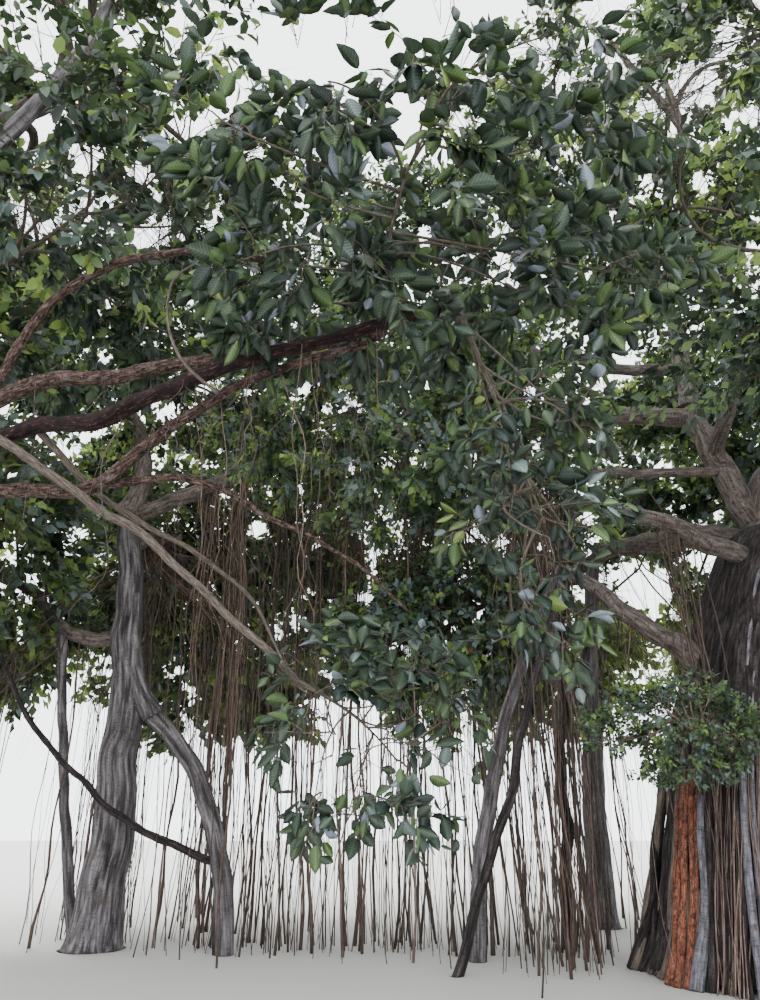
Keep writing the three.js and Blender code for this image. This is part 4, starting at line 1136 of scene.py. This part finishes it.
# A near leaf is a thin closed blade on a stalk: stations along it with half its width, arched and cupped
nearStations = [(0.07, 0.13), (0.26, 0.26), (0.52, 0.3), (0.8, 0.17)]
nearBlade = {"stalk": 0.2, "cup": (-0.02, 0.12), "arch": (-0.1, 0.34), "thick": 0.006,
             "stalkThick": np.array([1.2, 0.9]) * 0.011}


def nearLeaves(leaves, habit, rng):
    # Corners: the blade's root, then the left edge, right edge, upper and lower midrib of each station, then
    # its tip
    count, size = len(leaves["root"]), leaves["size"][:, None]
    arch, cup = (rng.uniform(*nearBlade[key], (count, 1)) for key in ("arch", "cup"))
    widest = max(half for _, half in nearStations)
    flat, fold = [(0, 0, 0)], [0]
    for x, half in nearStations:
        flat += [(x, half, 0), (x, -half, 0), (x, 0, 0), (x, 0, -nearBlade["thick"])]
        fold += [half / widest, half / widest, 0, 0]
    flat = np.array(flat + [(1, 0, 0)], float)[None].repeat(count, 0)
    outline = flat.copy()
    outline[..., 2] += cup * np.array(fold + [0]) - arch * flat[..., 0] ** 2
    last = flat.shape[1] - 1
    upper, lower = [], []
    for left, right, top, bottom in 1 + np.arange(last - 5).reshape(-1, 4):
        upper += [(left, left + 4, top + 4, top), (top, top + 4, right + 4, right)]
        lower += [(bottom, bottom + 4, left + 4, left), (right, right + 4, bottom + 4, bottom)]
    ends = [(0, 1, 3), (0, 3, 2), (last, last - 2, last - 4), (last, last - 3, last - 2)]
    endsLower = [(0, 4, 1), (0, 2, 4), (last, last - 4, last - 1), (last, last - 1, last - 3)]
    blades = {**leaves, "root": leaves["root"] + leaves["way"] * (nearBlade["stalk"] * size)}
    verts = placed(blades, outline).reshape(-1, 3)
    green = dealtGreens(leaves, leafDeal[habit["deal"]], rng)
    under = len(leafGreens) + rng.choice(len(underDeal), count, p=underDeal)
    parts = [{"verts": verts, "faces": np.zeros((0, 4), int), "material": 0, "blade": flat.reshape(-1, 3)}]
    for faces, kind in ((upper, green), (lower, under), (ends, green), (endsLower, under)):
        corners = np.array(faces)[None] + (np.arange(count) * (last + 1))[:, None, None] - len(verts)
        parts.append({"verts": noVerts, "faces": corners.reshape(-1, corners.shape[-1]), "blade": noVerts,
                      "material": kind.repeat(len(faces))})
    lines = np.stack([leaves["root"], blades["root"]], 1)
    for part in tubesOn(lines, nearBlade["stalkThick"] * size, 3):
        parts.append({"verts": part["verts"], "faces": part["faces"], "material": len(nearGreens) - 1,
                      "blade": 0 * part["verts"]})
    return parts


leafCount = 0
for name, mass in masses.items():
    leaves, wood = grow(mass)
    habit, rng = habits[mass["habit"]], np.random.default_rng(seeds["leaves"] + mass["seed"])
    near = habit["shape"] == "near"
    mesh = joinedMesh("leaves_" + name, (nearLeaves if near else farLeaves)(leaves, habit, rng))
    addPiece("leaves_" + name, mesh, nearGreens if near else leafGreens, "leaves", "foliage_" + name)
    twigBark = barks["redRootBark" if mass["habit"] == "tuft" else "twigBark"]
    addPiece("twigs_" + name, joinedMesh("twigs_" + name, wood), [twigBark], "bough_bark", "foliage_" + name)
    leafCount += len(leaves["root"])
    print(name, len(leaves["root"]), "leaves")
print("foliage made:", leafCount, "leaves")

# Stage
bpy.ops.mesh.primitive_plane_add(size=2 * floorLook["half"])
floor = bpy.context.object
floor.name = "floor"
made, tree = newMaterial("paleFloor")
colour = linear(floorLook["colour"])
finish = {"Base Color": colour, "Roughness": floorLook["roughness"]}
surface = addNode(tree, "ShaderNodeBsdfPrincipled", finish)
addNode(tree, "ShaderNodeOutputMaterial", {"Surface": surface.outputs[0]})
floor.data.materials.append(made)
floor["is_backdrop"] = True

world = bpy.data.worlds.new("sky")
world.use_nodes = True
background = world.node_tree.nodes["Background"]
background.inputs["Color"].default_value = linear(light["sky"])
background.inputs["Strength"].default_value = light["skyStrength"]
bpy.context.scene.world = world
sun = linked("softSun", bpy.data.lights.new("softSun", "SUN"))
sun.data.energy = light["sunStrength"]
sun.data.angle = math.radians(light["sunAngle"])
sun.rotation_euler = [math.radians(a) for a in light["sunFrom"]]

eye = linked("eye", bpy.data.cameras.new("eye"))
eye.location = camera["eye"]
eye.rotation_euler = (math.radians(90 + camera["pitchUp"]), 0, 0)
eye.data.lens = eye.data.sensor_width * camera["focalPixels"] / camera["longSidePixels"]
eye.data.clip_end = camera["farthest"]
bpy.context.scene.camera = eye

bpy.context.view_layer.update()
triangles = sum(len(p.vertices) - 2 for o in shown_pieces() if o.type == "MESH" for p in o.data.polygons)
print("triangles", triangles)
